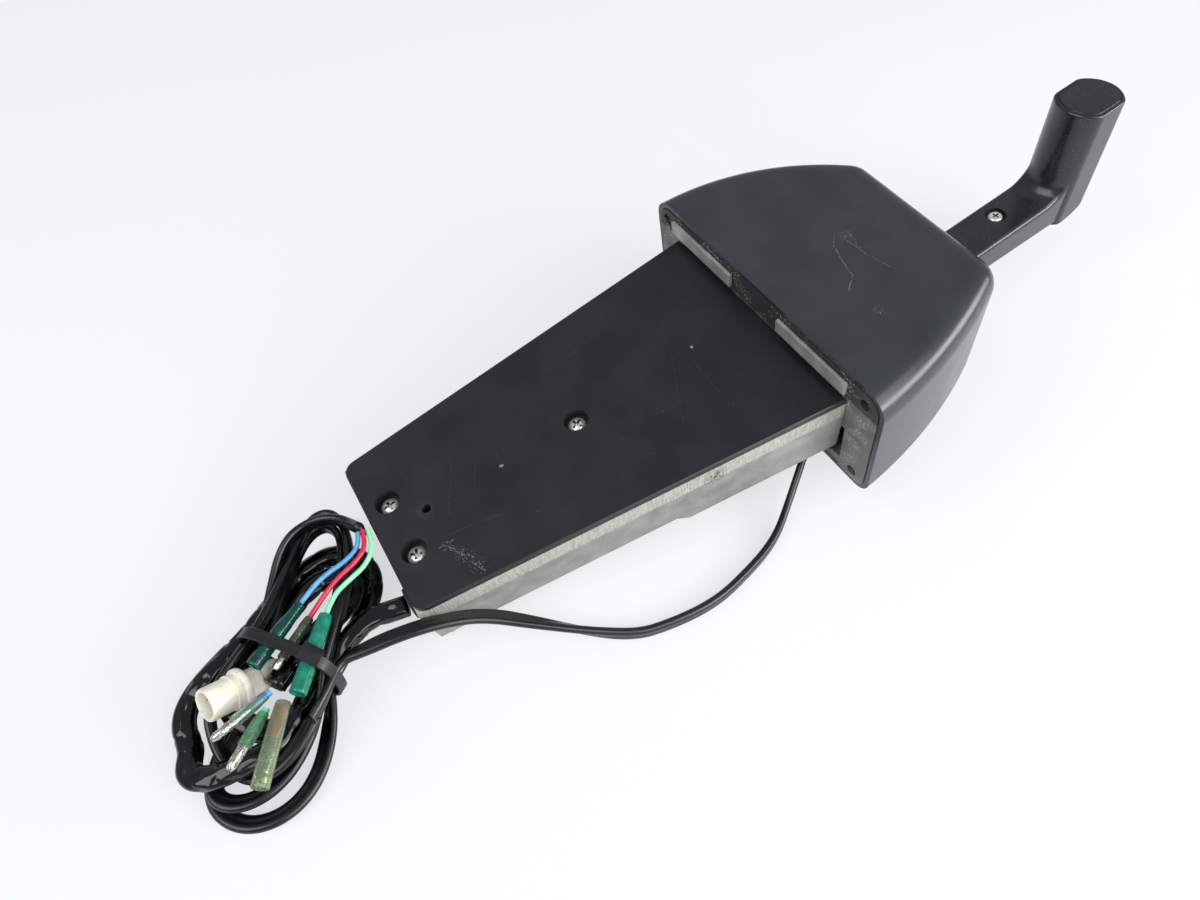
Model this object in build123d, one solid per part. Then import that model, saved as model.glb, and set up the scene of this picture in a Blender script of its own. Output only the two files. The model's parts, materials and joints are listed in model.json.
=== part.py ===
"""Top-mount throttle and shift control for an outboard motor, lying on its lever side.

The device is modelled in its own frame and then laid down:
X runs from the mounting plane to the grip, Y runs across the control,
Z is the direction of the lever's shaft, with 0 at the cover plate's outer face.
"""
import os
from math import atan2, cos, degrees, pi, radians, sin, tan

from build123d import *

# ---------------------------------------------------------------- driving dimensions, mm
# mechanism case, below the deck
case_length = 191.0
tail_half_width = 40.0
root_half_width = 60.5
case_wall = 3.0
tail_depth = 31.0          # cover face to the case floor's outside, at the cable end
root_depth = 36.0          # the same, under the gears
deep_length = 80.0         # how much of the case has the greater depth
band_depth = 12.0          # upright machined band under the cover
draft_inset = 1.5          # how far the cast sides lean in below the band
foot_radius = 6.5
foot_inset = 7.0
foot_height = 2.5
tail_opening_z = -17.0

# cover plate
plate_thickness = 3.0
plate_corner = 6.0
plate_gap = 0.6            # from the plate's wide end to the mounting plane
seat_depth = 0.3           # of the seat in the flange, so that a deck lies flat on its face
screw_places = ((-95.7, -0.6), (-180.6, -15.5), (-180.9, 12.0))
recess_radius = 5.5
recess_depth = 5.0
cup_wall = 1.5
screw_post_radius = 4.5
plain_hole = (-168.3, -1.0)
plain_hole_radius = 2.0

# M4 pan head screws
shank_radius = 2.0
head_radius = 3.95
head_height = 2.6
cross_depth = 1.3
fit = 0.05                 # radial clearance of a fit
clear = 0.35               # gap between a moving piece and what it passes

# housing cover, above the deck
far_half = 79.0
near_half = 80.5
crown_far = (90.3, 35.5)
crown_near = (87.8, -52.8)
far_bulge = 11.3
near_bulge = 4.7
crown_radius = 14.0
top_edge_radius = 11.0
low_edge_radius = 8.0
cover_top = 15.0
cover_low = -52.0
cover_wall = 2.5
rim_set_back = 0.5

# mounting flange and lower casting
flange_thickness = 5.0
flange_gap = 0.3
split_height = -20.0
split_gap = 0.15
tab_inner = 62.0           # the flange's end tabs start here
hole_y = 70.0
upper_hole_z = 6.0
lower_hole_z = -44.0
mount_hole_radius = 2.75
bar_height = 2.2           # locating bars stand this far off the mounting plane
bar_ends = ((17.0, 63.0), (-60.0, -16.0))
bar_low = 3.6
bar_high = 10.4
bearing_plate = 5.0
bearing_rise = 1.7         # lower bearing plate above the cover's inside
bridge_low = 2.0
bridge_half_width = 26.0
bolt_radius = 2.5
lug_length = 10.0
lug_height = 11.0

# gear pair and shafts
shaft_x = 38.0
shaft_y = 2.0
shaft_radius = 6.0
gear_module = 2.0
drive_teeth = 26
driven_teeth = 38
tooth_backlash = 0.7
gear_bottom = -22.0
gear_thickness = 8.0
hub_wall = 4.0
bush_wall = 1.5
bush_flange = 1.0
stud_radius = 5.0
boss_radius = 9.0
stud_boss_top = -29.0
arm_thickness = 3.0
arm_half_width = 6.0
shift_reach = 43.0
throttle_reach = 52.0
arm_ring_radius = 20.0
pin_radius = 2.5
pin_length = 12.0
rivet_radius = 2.0
rivet_circle = 15.5
cam_radius = 33.0
cam_thickness = 2.4
cam_notch = 2.0

# detent and friction brake above the drive gear
detent_offset = 17.5
ball_radius = 3.0
guide_radius = 6.0
guide_gap = 1.5            # guides stop this far above the gear

# lever
lever_angle = 3.4
hub_radius = 27.0
hub_gap = 1.5              # housing cover to the lever
hub_outer = -69.5
arm_outer = -75.0
lever_half_width = 12.8
lever_edge_radius = 3.0
grip_reach = 182.0
grip_radius = 16.5
grip_flat = 14.2
flat_blend = 6.0
grip_top = -4.0
grip_spare = 0.5           # the grip stands this far proud of the slab
grip_heel_radius = 24.0
grip_throat_radius = 10.0
cap_thickness = 3.0
arm_screw_offset = 2.1
post_radius = 3.8
neck_radius = 12.0
button_radius = 8.0
button_stand = 1.0
button_top = 1.5
switch_reach = 162.0
switch_length = 30.0
strip_gap = 5            # from the switch housing to the end of the outer strip
screw_from_end = 6.9       # from that end to the strip's screw
switch_width = 18.0
switch_stand = 2.5

# control cables, retainer and harness at the tail
retainer_thickness = 2.0
cable_lanes = (-1.5, 26.0)
cable_port_radius = 4.75
cable_groove_radius = 4.0
harness_hole_radius = 5.5
harness_y = -28.0
harness_z = -13.0
harness_radius = 4.0
trim_radius = 3.0          # half the flat lead's width
trim_mouth = (-50.0, -39.4)  # where the trim lead leaves, across and along the shaft

# neutral switch
switch_low = -18.0
switch_height = 9.5
switch_depth = 9.5
switch_screw_radius = 1.25
plunger_radius = 0.9

# small parts
key_width = 4.0
key_height = 4.0
hub_floor = -61.0
pocket_web = 1.0
clip_high = -8.0
clip_low = -32.0
stud_floor = -34.0
set_screw_radius = 3.0
rocker_width = 11.0
rocker_length = 22.0
cap_inset = 1.8
cap_gap = 0.25

# cords and what is on them, where the control lies, by hand
trim_route = ((-21.6, -49.4, 27.0), (-29.5, -50.2, 24.6), (-36.5, -55.5, 16.5), (-45.5, -62.0, 8.3),
              (-57.5, -70.5, 3.6), (-69.3, -75.8, 3.2), (-82.0, -79.6, 3.2), (-96.7, -83.2, 3.2),
              (-110.2, -83.9, 3.2), (-124.7, -82.4, 3.2), (-137.9, -79.7, 3.4), (-152.6, -71.5, 6.0),
              (-172.5, -58.5, 13.0), (-190.5, -47.2, 20.0), (-207.0, -43.8, 26.0),
              (-223.0, -40.8, 26.5), (-236.0, -38.8, 24.5), (-247.0, -37.0, 22.0))
harness_route = ((-215.4, -27.3, 19.7), (-222.0, -25.8, 18.8), (-230.5, -24.2, 18.8),
                 (-239.0, -27.0, 18.8), (-246.5, -30.5, 18.2))
sheath_end = ((-238.0, 36.0, 22.0), (-229.0, 32.0, 27.0), (-221.5, 24.0, 31.0), (-218.9, 15.0, 33.4),
              (-218.8, 5.5, 34.5))
hank_floor = 0.4
hank_low_height = 18.0
hank_height = 26.4
hank_outline = ((-218.0, 40.0), (-226.0, 47.0), (-238.0, 48.0), (-248.0, 40.0), (-257.0, 16.0),
                (-272.0, -6.0), (-296.0, -13.0), (-311.0, -18.0), (-314.0, -32.0), (-312.0, -58.0),
                (-306.0, -72.0), (-293.0, -82.0), (-277.0, -82.0), (-265.0, -67.0), (-262.0, -50.0),
                (-251.0, -38.0), (-241.0, -28.0), (-225.0, -17.0), (-218.5, -7.0), (-216.5, 10.0))
hank_upper = ((-226.0, 34.0), (-238.0, 40.0), (-247.0, 32.0), (-254.0, 12.0), (-273.0, -13.0),
              (-300.0, -22.0), (-305.0, -36.0), (-302.0, -58.0), (-289.0, -73.0), (-274.0, -70.0),
              (-265.0, -52.0), (-252.0, -40.0), (-240.0, -27.0), (-226.0, -12.0), (-223.0, 10.0))
tie_start = (-275.5, -9.5)
tie_end = (-250.0, -42.0)
tie_width = 41.3
tie_low = 1.5
tie_high = 34.2
tie_band = 4.6
tie_thickness = 1.1
wire_radius = 1.0
wire_blue_route = ((-220.8, 5.0, 34.4), (-222.2, -0.8, 34.2), (-229.0, -4.2, 33.2), (-239.0, -5.3, 32.0),
                   (-246.3, -8.1, 30.8), (-253.7, -13.1, 30.3))
wire_red_route = ((-218.8, 5.0, 34.5), (-219.8, -2.6, 34.6), (-226.5, -7.2, 33.6), (-235.5, -9.4, 32.2),
                  (-243.7, -13.6, 30.2), (-252.1, -19.9, 29.4))
wire_green_route = ((-216.7, 5.0, 34.4), (-217.2, -3.4, 34.2), (-223.0, -10.0, 33.2), (-231.5, -12.6, 32.4),
                    (-239.6, -15.2, 31.2), (-246.1, -23.5, 30.7))
sleeve_wall = 0.8
# sleeves: radius, the end where the wire enters, the other end, how far a bullet sticks out
upper_sleeves = ((3.0, (-251.2, -11.4, 30.3), (-274.4, -27.1, 30.3), 0.0),
                 (2.0, (-250.1, -18.4, 29.4), (-264.5, -29.2, 29.4), 4.0),
                 (3.3, (-244.4, -21.3, 30.7), (-263.6, -45.9, 30.7), 0.0))
lower_sleeves = ((2.3, (-273.0, -40.4, 30.8), (-286.3, -44.2, 30.6), 8.7),
                 (2.6, (-276.0, -45.8, 29.6), (-285.8, -54.0, 29.6), 8.7),
                 (3.3, (-268.8, -46.2, 30.9), (-285.0, -71.2, 30.9), 0.0))
shell_start = (-268.5, -23.6, 18.6)
shell_end = (-296.0, -32.4, 18.6)
shell_radius = 6.4

strip_thickness = 2.5
strip_end = switch_reach - switch_length / 2 - strip_gap
arm_screw_reach = strip_end - screw_from_end
neck_height = 2.6          # hub neck above the housing cover's outside
switch_depth_in_arm = 12.0

# values that follow from the ones above
lever_inner = cover_low - hub_gap
bush_outer = shaft_radius + bush_wall
lower_bush_top = cover_low + cover_wall + bearing_rise + bearing_plate + bush_flange
seal_outer = neck_radius + 3.0
lug_x = flange_thickness + lug_length / 2
shift_low = stud_boss_top + 0.8
throttle_low = gear_bottom + gear_thickness + cam_thickness + 0.1
gear_hub_radius = stud_radius + bush_wall + hub_wall
stud_groove = throttle_low + arm_thickness + 0.3
neck_top = cover_low + neck_height
set_screw_z = (cover_low - hub_gap + hub_floor) / 2
switch_roof = arm_outer + switch_depth_in_arm
rocker_axis_z = arm_outer + 0.8
rocker_floor = arm_outer + 5.5
plunger_z = gear_bottom + gear_thickness + cam_thickness / 2
gear_top = gear_bottom + gear_thickness
drive_radius = drive_teeth * gear_module / 2
driven_radius = driven_teeth * gear_module / 2
stud_x = shaft_x - drive_radius - driven_radius
driven_outer = driven_radius + gear_module
switch_screw_x = (stud_x - 7.0, stud_x + 7.0)
switch_screw_y = shaft_y - driven_outer - 3.0 - switch_depth / 2


# ---------------------------------------------------------------- small helpers
def block(x0, x1, y0, y1, z0, z1):
    """Box between limits."""
    return Pos((x0 + x1) / 2, (y0 + y1) / 2, (z0 + z1) / 2) * Box(x1 - x0, y1 - y0, z1 - z0)


def rod(radius, z0, z1, x=0.0, y=0.0):
    """Upright cylinder between two heights."""
    return Pos(x, y, (z0 + z1) / 2) * Cylinder(radius, z1 - z0)


def ring(outer, inner, z0, z1, x=0.0, y=0.0):
    return rod(outer, z0, z1, x, y) - rod(inner, z0 - 1, z1 + 1, x, y)


def prism(points, z0, z1):
    """Upright prism on a closed polygon."""
    return Pos(0, 0, z0) * extrude(make_face(Polyline(*points, close=True)), z1 - z0)


def along_x(radius, x0, x1, y, z):
    """Cylinder along X."""
    return Pos((x0 + x1) / 2, y, z) * Rot(0, 90, 0) * Cylinder(radius, x1 - x0)


def along_y(radius, y0, y1, x, z):
    """Cylinder along Y."""
    return Pos(x, (y0 + y1) / 2, z) * Rot(90, 0, 0) * Cylinder(radius, y1 - y0)


def polar(radius, angle, x=0.0, y=0.0):
    return (x + radius * cos(radians(angle)), y + radius * sin(radians(angle)))


def half_width(x, inset=0.0):
    """Half width of the case's plan at x, less an inset."""
    return root_half_width + (root_half_width - tail_half_width) * x / case_length - inset


def case_plan(x0, x1, inset=0.0):
    return [(x0, -half_width(x0, inset)), (x1, -half_width(x1, inset)),
            (x1, half_width(x1, inset)), (x0, half_width(x0, inset))]


def pan_screw(length, head=head_radius, shank=shank_radius):
    """Screw pointing down from the origin, its head above, with a cross recess."""
    body = rod(head, 0, head_height)
    body = fillet(body.edges().filter_by(GeomType.CIRCLE).group_by(Axis.Z)[-1], head_height * 0.6)
    body = body + rod(shank, -length, 0.2)
    for turn in (0, 90):
        slot = block(-head * 0.52, head * 0.52, -0.5, 0.5, head_height - cross_depth, head_height + 1)
        body = body - Rot(0, 0, turn) * slot
    return body


# ---------------------------------------------------------------- housing cover form
def cover_outline(inset):
    """Plan of the housing cover, drawn in by an inset, from the mounting plane to the crown."""
    far_rim = (0, far_half - inset)
    near_rim = (0, -near_half + inset)
    far_corner = (crown_far[0] - inset, crown_far[1] - inset)
    near_corner = (crown_near[0] - inset, crown_near[1] + inset)
    edges = [SagittaArc(far_rim, far_corner, far_bulge), Line(far_corner, near_corner),
             SagittaArc(near_corner, near_rim, near_bulge), Line(near_rim, far_rim)]
    return make_face(edges)


def cover_form(inset):
    """Solid inside of the housing cover's skin, drawn in by an inset."""
    plan = cover_outline(inset)
    low = cover_low + inset
    high = cover_top - inset
    body = Pos(0, 0, low) * extrude(plan, high - low)
    corners = body.edges().filter_by(Axis.Z).sort_by(Axis.X)[-2:]
    body = fillet(corners, crown_radius - inset)
    top = body.faces().sort_by(Axis.Z)[-1].edges()
    top_edges = [e for e in top if e.center().X > 1]
    body = fillet(top_edges, top_edge_radius - inset)
    bottom = body.faces().sort_by(Axis.Z)[0].edges()
    bottom_edges = [e for e in bottom if e.center().X > 1]
    return fillet(bottom_edges, low_edge_radius - inset)


# ---------------------------------------------------------------- case and cover plate
def mechanism_case():
    """Die-cast case with the upper part of the mounting flange and the upper bearing bridge."""
    rim = -plate_thickness
    band = Pos(0, 0, -band_depth) * extrude(
        make_face(Polyline(*case_plan(-case_length, 0), close=True)), band_depth - plate_thickness)
    drop = root_depth - band_depth
    taper = degrees(atan2(draft_inset, drop))
    lower = extrude(make_face(Polyline(*case_plan(-case_length, 20), close=True)), drop, taper=taper)
    lower = Pos(0, 0, -band_depth) * mirror(lower, Plane.XY) & block(-300, 0, -80, 80, -80, 0)
    shallow = block(-case_length - 5, -deep_length, -80, 80, -root_depth - 1, -tail_depth)
    ramp = prism([(0, 0), (6, 0), (0, root_depth - tail_depth)], -80, 80)
    ramp = Pos(-deep_length, 0, -root_depth) * Rot(90, 0, 0) * ramp
    flange = flange_ring() & block(0, flange_thickness, -120, 120, split_height, 60)
    body = band + lower - shallow - ramp + flange
    inner = case_wall + draft_inset
    tail_x = -case_length + case_wall
    mouth_x = flange_thickness + 1
    deep_x = -deep_length + 6 + case_wall
    hollow = prism(case_plan(tail_x, mouth_x, inner), -tail_depth + case_wall, rim + 1)
    hollow = hollow + prism(case_plan(deep_x, mouth_x, inner), -root_depth + case_wall, -band_depth - 1)
    hollow = hollow + prism(case_plan(tail_x, mouth_x, case_wall), -band_depth, rim + 1)
    body = body - hollow
    # shallow seat in the flange behind the end of the cover plate
    seat_half = root_half_width + plate_gap
    body = body - block(-1, seat_depth, -seat_half, seat_half, rim, plate_gap)
    # posts for the cover screws
    for x, y in screw_places:
        top = -recess_depth - cup_wall - (retainer_thickness if x < -150 else 0)
        body = body + rod(screw_post_radius, -tail_depth + 1, top, x, y)
        body = body - rod(shank_radius + fit, -tail_depth + 4, top + 1, x, y)
    # feet under the tail
    for side in (-1, 1):
        x = -case_length + foot_inset
        y = side * (tail_half_width - foot_radius - draft_inset)
        body = body + rod(foot_radius, -tail_depth - foot_height, -tail_depth + 1, x, y)
    # control cable ports and the harness opening in the tail wall
    for y in cable_lanes:
        body = body + along_x(cable_port_radius + 2.5, -case_length, tail_x + 3, y, tail_opening_z)
        body = body - along_x(cable_port_radius, -case_length - 1, tail_x + 4, y, tail_opening_z)
    body = body - along_x(harness_hole_radius, -case_length - 1, tail_x + 1, harness_y, harness_z)
    # boss for the gear stud
    body = body + rod(boss_radius, -root_depth + 1, stud_boss_top, stud_x, shaft_y)
    body = body - rod(stud_radius, stud_floor, stud_boss_top + 1, stud_x, shaft_y)
    # pad that carries the neutral switch
    x0, x1, y0, y1 = switch_pad()
    body = body + block(x0, x1, y0, y1, -root_depth + 1, switch_low)
    for x in switch_screw_x:
        body = body - rod(switch_screw_radius + fit, switch_low - 8, switch_low + 1, x, switch_screw_y)
    # locating bars, mounting holes and bolt ears on the flange
    for low, high in bar_ends:
        body = body + block(-bar_height, 0.5, low, high, bar_low, bar_high)
    for y in (-hole_y, hole_y):
        body = body - along_x(mount_hole_radius, -4, flange_thickness + 1, y, upper_hole_z)
        body = body + upper_lug(y)
    # bridge that carries the upper bush, the detent and the friction screw
    bridge_end = shaft_x + bush_outer + 7
    bridge = block(1, bridge_end, shaft_y - bridge_half_width, shaft_y + bridge_half_width,
                   bridge_low, bridge_low + bearing_plate)
    bridge = fillet(bridge.edges().filter_by(Axis.Z).sort_by(Axis.X)[-2:], 9.0)
    for side in (-1, 1):
        y = shaft_y + side * detent_offset
        bridge = bridge + rod(guide_radius, gear_top + guide_gap, bridge_low + 1, shaft_x, y)
        bridge = bridge - rod(ball_radius + fit, gear_top, bridge_low + 9, shaft_x, y)
    bridge = bridge - rod(bush_outer, bridge_low - 1, bridge_low + 9, shaft_x, shaft_y)
    return body + bridge


def upper_lug(y):
    """Ear behind the flange that takes a joining bolt from below."""
    x1 = flange_thickness + lug_length
    ear = block(flange_thickness - 1, x1, y - 5, y + 5, split_height, split_height + lug_height)
    return ear - rod(bolt_radius + fit, split_height - 1, split_height + lug_height - 2, lug_x, y)


def flange_ring():
    """Slab of the flange that fills the housing cover's mouth."""
    inset = cover_wall + flange_gap
    return cover_form(inset) & block(0, flange_thickness, -120, 120, -80, 60)


def cover_plate():
    x0 = -case_length
    plate = Pos(0, 0, -plate_thickness) * extrude(
        make_face(Polyline(*case_plan(x0, -plate_gap), close=True)), plate_thickness)
    plate = fillet(plate.edges().filter_by(Axis.Z).sort_by(Axis.X)[:2], plate_corner)
    plate = chamfer(plate.faces().sort_by(Axis.Z)[-1].edges(), 0.5)
    for x, y in screw_places:
        plate = plate + rod(recess_radius + cup_wall, -recess_depth - cup_wall, -1, x, y)
        plate = plate - rod(recess_radius, -recess_depth, 1, x, y)
        plate = plate - rod(shank_radius + 0.3, -recess_depth - 3, 1, x, y)
    return plate - rod(plain_hole_radius, -plate_thickness - 1, 1, *plain_hole)


def cover_screws():
    screw = pan_screw(16.0)
    return [Pos(x, y, -recess_depth) * screw for x, y in screw_places]


def cable_retainer():
    """Folded strip under the cover, whose forks lock the control cables' grooves."""
    x0 = -case_length + case_wall + 3.6
    x1 = x0 + retainer_thickness
    top = -recess_depth - cup_wall
    low = tail_opening_z - 4.0
    y0 = cable_lanes[0] - 10
    y1 = cable_lanes[1] + 10
    strip = block(x0, x1, y0, y1, low, top)
    strip = strip + block(x0, -176.0, -21.0, 18.0, top - retainer_thickness, top)
    for y in cable_lanes:
        strip = strip - along_x(cable_groove_radius, x0 - 1, x1 + 1, y, tail_opening_z)
        strip = strip - block(x0 - 1, x1 + 1, y - cable_groove_radius, y + cable_groove_radius,
                              low - 1, tail_opening_z)
    for x, y in screw_places:
        if x < -150:
            strip = strip - rod(shank_radius + 0.3, -60, 1, x, y)
            strip = strip - rod(screw_post_radius + clear, -60, top - retainer_thickness, x, y)
    return strip


# ---------------------------------------------------------------- lower casting and bolts
def lever_bracket():
    """Lower casting: two end tabs of the flange joined by the plate that carries the main bush."""
    inset = cover_wall + flange_gap
    form = cover_form(inset)
    low = cover_low + cover_wall + bearing_rise
    tabs = form & block(0, flange_thickness, -120, 120, -80, split_height - split_gap)
    tabs = tabs - block(-1, flange_thickness + 1, -tab_inner, tab_inner, -80, 60)
    reach = shaft_x + bush_outer + 12
    plate = form & prism([(0, -120), (8, -120), (reach, -24), (reach, 28), (8, 120), (0, 120)],
                         low, low + bearing_plate)
    body = tabs + plate
    for y in (-hole_y, hole_y):
        body = body - along_x(mount_hole_radius, -1, flange_thickness + 1, y, lower_hole_z)
        ear = block(flange_thickness - 1, flange_thickness + lug_length, y - 5, y + 5,
                    split_height - split_gap - lug_height, split_height - split_gap)
        body = body + ear - rod(bolt_radius + 0.25, -50, split_height, lug_x, y)
        # room for the bolt's head and for a mounting bolt's nut
        body = body - rod(5.4, -60, split_height - split_gap - lug_height - 0.01, lug_x, y)
    body = body - rod(bush_outer, low - 1, low + 9, shaft_x, shaft_y)
    return body


def bracket_bolts():
    """Hexagon bolts that join the two castings."""
    top = split_height - split_gap - lug_height
    bolts = []
    for y in (-hole_y, hole_y):
        head = Pos(lug_x, y, top - 3.5) * extrude(RegularPolygon(4.4, 6), 3.5)
        bolts.append(head + rod(bolt_radius, top - 1, split_height + lug_height - 3, lug_x, y))
    return bolts


# ---------------------------------------------------------------- housing cover
def housing_cover():
    skin = (cover_form(0.0) - cover_form(cover_wall)) & block(rim_set_back, 200, -120, 120, -80, 60)
    hole = rod(seal_outer, cover_low - 1, cover_low + cover_wall + 1, shaft_x, shaft_y)
    skin = skin - hole
    # snap tabs that grip behind the flange
    x0 = flange_thickness + 0.2
    for sign, half in ((1, far_half), (-1, near_half)):
        y = sign * (half - cover_wall - 0.8)
        for z in (clip_high, clip_low):
            tab = block(x0, x0 + 3.0, min(y, y + sign * 1.5), max(y, y + sign * 1.5), z, z + 7.0)
            skin = skin + tab
    return skin


def hub_seal():
    low = cover_low + 0.1
    return ring(seal_outer - fit, neck_radius + clear, low, low + cover_wall - 0.2, shaft_x, shaft_y)


# ---------------------------------------------------------------- shafts, gears, arms
def gear_blank(teeth, phase, x):
    """Flat toothed disc with straight-flanked teeth."""
    pitch = teeth * gear_module / 2
    root = pitch - gear_module * 1.2
    tip = pitch + gear_module * 0.95
    width = pi * gear_module / 2 - tooth_backlash
    halves = [(root, width / 2 + 0.75), (tip, width / 2 - 0.62)]
    points = []
    for i in range(teeth):
        centre = phase + 360 * i / teeth
        for r, w in ((halves[0][0], -halves[0][1]), (halves[1][0], -halves[1][1]),
                     (halves[1][0], halves[1][1]), (halves[0][0], halves[0][1])):
            points.append(polar(r, centre + degrees(w / r), x, shaft_y))
    return prism(points, gear_bottom, gear_top)


def drive_gear():
    gear = gear_blank(drive_teeth, 180.0, shaft_x)
    gear = gear + rod(shaft_radius + hub_wall, lower_bush_top + 0.2, gear_bottom + 1, shaft_x, shaft_y)
    for side in (-1, 1):
        gear = gear - Pos(shaft_x, shaft_y + side * detent_offset, gear_top + 1.9) * Sphere(ball_radius)
    for angle in (0, 180):
        x, y = polar(detent_offset, angle, shaft_x, shaft_y)
        gear = gear - rod(4.5, gear_bottom - 1, gear_top + 1, x, y)
    gear = gear - rod(shaft_radius + fit, -60, 0, shaft_x, shaft_y)
    return gear - key_seat(key_height + fit, 0.0)


def key_seat(height, slack):
    """Parallel key's block on the grip side of the shaft."""
    x0 = shaft_x + shaft_radius - 2.0
    half = key_width / 2
    return block(x0, x0 + height, shaft_y - half - slack, shaft_y + half + slack,
                 gear_bottom - 2, gear_top - 1)


def drive_key():
    return key_seat(key_height, 0.0)


def main_shaft():
    top = bridge_low + bearing_plate + 3.5
    shaft = rod(shaft_radius, hub_floor, top, shaft_x, shaft_y)
    shaft = chamfer(shaft.edges(), 0.6)
    shaft = shaft - key_seat(key_height, fit)
    groove = bridge_low + bearing_plate + bush_flange + 0.1
    shaft = shaft - ring(shaft_radius + 1, shaft_radius - 0.8, groove, groove + 1.2, shaft_x, shaft_y)
    return shaft


def shaft_clip():
    groove = bridge_low + bearing_plate + bush_flange + 0.2
    clip = ring(shaft_radius + 2.2, shaft_radius - 0.7, groove, groove + 1.0, shaft_x, shaft_y)
    return clip - block(shaft_x - 20, shaft_x, shaft_y - 3, shaft_y + 3, groove - 1, groove + 2)


def lower_bush():
    low = cover_low + cover_wall + bearing_rise
    bush = ring(bush_outer - 0.02, shaft_radius + fit, low, lower_bush_top, shaft_x, shaft_y)
    collar = ring(bush_outer + 2.5, shaft_radius + fit, low + bearing_plate + 0.02, lower_bush_top,
                  shaft_x, shaft_y)
    return bush + collar


def upper_bush():
    top = bridge_low + bearing_plate + bush_flange
    bush = ring(bush_outer - 0.02, shaft_radius + fit, bridge_low, top, shaft_x, shaft_y)
    collar = ring(bush_outer + 2.5, shaft_radius + fit, bridge_low + bearing_plate + 0.02, top,
                  shaft_x, shaft_y)
    return bush + collar


def spacer_tube():
    return ring(shaft_radius + 2.0, shaft_radius + fit, gear_top + 0.1, bridge_low - 0.2, shaft_x, shaft_y)


def gear_stud():
    top = -plate_thickness - 1.0
    stud = rod(stud_radius - 0.02, stud_floor, top, stud_x, shaft_y)
    stud = chamfer(stud.edges().group_by(Axis.Z)[-1], 0.5)
    return stud - ring(stud_radius + 1, stud_radius - 0.7, stud_groove, stud_groove + 1.2, stud_x, shaft_y)


def stud_clip():
    low = stud_groove + 0.1
    clip = ring(stud_radius + 2.2, stud_radius - 0.6, low, low + 1.0, stud_x, shaft_y)
    return clip - block(stud_x, stud_x + 20, shaft_y - 2.5, shaft_y + 2.5, low - 1, low + 2)


def gear_bush():
    return ring(stud_radius + bush_wall, stud_radius + fit, stud_boss_top + 0.1, stud_groove - 0.2,
                stud_x, shaft_y)


def driven_gear():
    gear = gear_blank(driven_teeth, 180 / driven_teeth, stud_x)
    gear = gear + rod(gear_hub_radius, shift_low, throttle_low + arm_thickness, stud_x, shaft_y)
    gear = gear + rod(arm_ring_radius, shift_low + arm_thickness + 0.02, gear_bottom + 1, stud_x, shaft_y)
    gear = gear + rod(cam_radius, gear_top - 0.5, gear_top + cam_thickness, stud_x, shaft_y)
    notch = block(stud_x - 4, stud_x + 4, shaft_y - cam_radius - 3, shaft_y - cam_radius + cam_notch,
                  gear_top, gear_top + 9)
    gear = gear - notch
    for angle in (45, 135, 225, 315):
        x, y = polar(26.0, angle, stud_x, shaft_y)
        gear = gear - rod(4.0, gear_bottom - 1, gear_top + 9, x, y)
    for x, y in rivet_places():
        gear = gear - rod(rivet_radius + fit, -60, 0, x, y)
    return gear - rod(stud_radius + bush_wall + fit, -60, 0, stud_x, shaft_y)


def rivet_places():
    return [polar(rivet_circle, angle, stud_x, shaft_y) for angle in (0, 180)]


def cable_arm(low, reach, angle):
    """Flat arm on the gear's hub, with a hole for the cable pin at its reach."""
    arm = rod(arm_ring_radius, low, low + arm_thickness)
    arm = arm + block(0, reach, -arm_half_width, arm_half_width, low, low + arm_thickness)
    arm = arm + rod(arm_half_width, low, low + arm_thickness, reach, 0)
    arm = arm - rod(pin_radius - 0.5 + fit, low - 1, low + 9, reach, 0)
    arm = Pos(stud_x, shaft_y, 0) * Rot(0, 0, angle) * arm
    arm = arm - rod(gear_hub_radius + fit, low - 1, low + 9, stud_x, shaft_y)
    for x, y in rivet_places():
        arm = arm - rod(rivet_radius + fit, low - 1, low + 9, x, y)
    return arm


def cable_pin(low, reach, angle, up):
    """Shouldered pin riveted into a cable arm, with a cross hole for its split pin."""
    x, y = polar(reach, angle, stud_x, shaft_y)
    sign = 1 if up else -1
    face = low + arm_thickness if up else low
    tip = face + sign * pin_length
    pin = rod(pin_radius, min(face, tip), max(face, tip), x, y)
    pin = pin + rod(pin_radius - 0.5, low - 0.4, low + arm_thickness + 0.4, x, y)
    return pin - along_y(0.8, y - 5, y + 5, x, tip - sign * 2.5)


def arm_rivets():
    rivets = []
    for x, y in rivet_places():
        body = rod(rivet_radius, shift_low - 0.9, throttle_low + arm_thickness + 0.9, x, y)
        body = body + rod(rivet_radius + 1.2, shift_low - 0.9, shift_low - 0.02, x, y)
        top = throttle_low + arm_thickness
        rivets.append(body + rod(rivet_radius + 1.2, top + 0.02, top + 0.9, x, y))
    return rivets


# ---------------------------------------------------------------- detent and friction brake
def detent_ball():
    z = gear_top + ball_radius + 0.3
    return Pos(shaft_x, shaft_y + detent_offset, z) * Sphere(ball_radius)


def detent_spring():
    low = gear_top + 2 * ball_radius + 0.5
    height = bridge_low + 1.0 - low
    coil = Helix(pitch=2.0, height=height, radius=2.0)
    wire = Circle(0.4)
    path = Pos(shaft_x, shaft_y + detent_offset, low) * coil
    section = Plane(origin=path @ 0, z_dir=path % 0) * wire
    return sweep(section, path=path, is_frenet=True)


def guide_plug(side, low):
    """Slotted plug screwed into the top of a guide."""
    y = shaft_y + side * detent_offset
    plug = rod(ball_radius, low, bridge_low + bearing_plate + 0.5, shaft_x, y)
    return plug - block(shaft_x - 5, shaft_x + 5, y - 0.5, y + 0.5, bridge_low + bearing_plate - 1, 20)


def friction_pad():
    y = shaft_y - detent_offset
    return rod(ball_radius, gear_top + clear, gear_top + 9.0, shaft_x, y)


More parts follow.
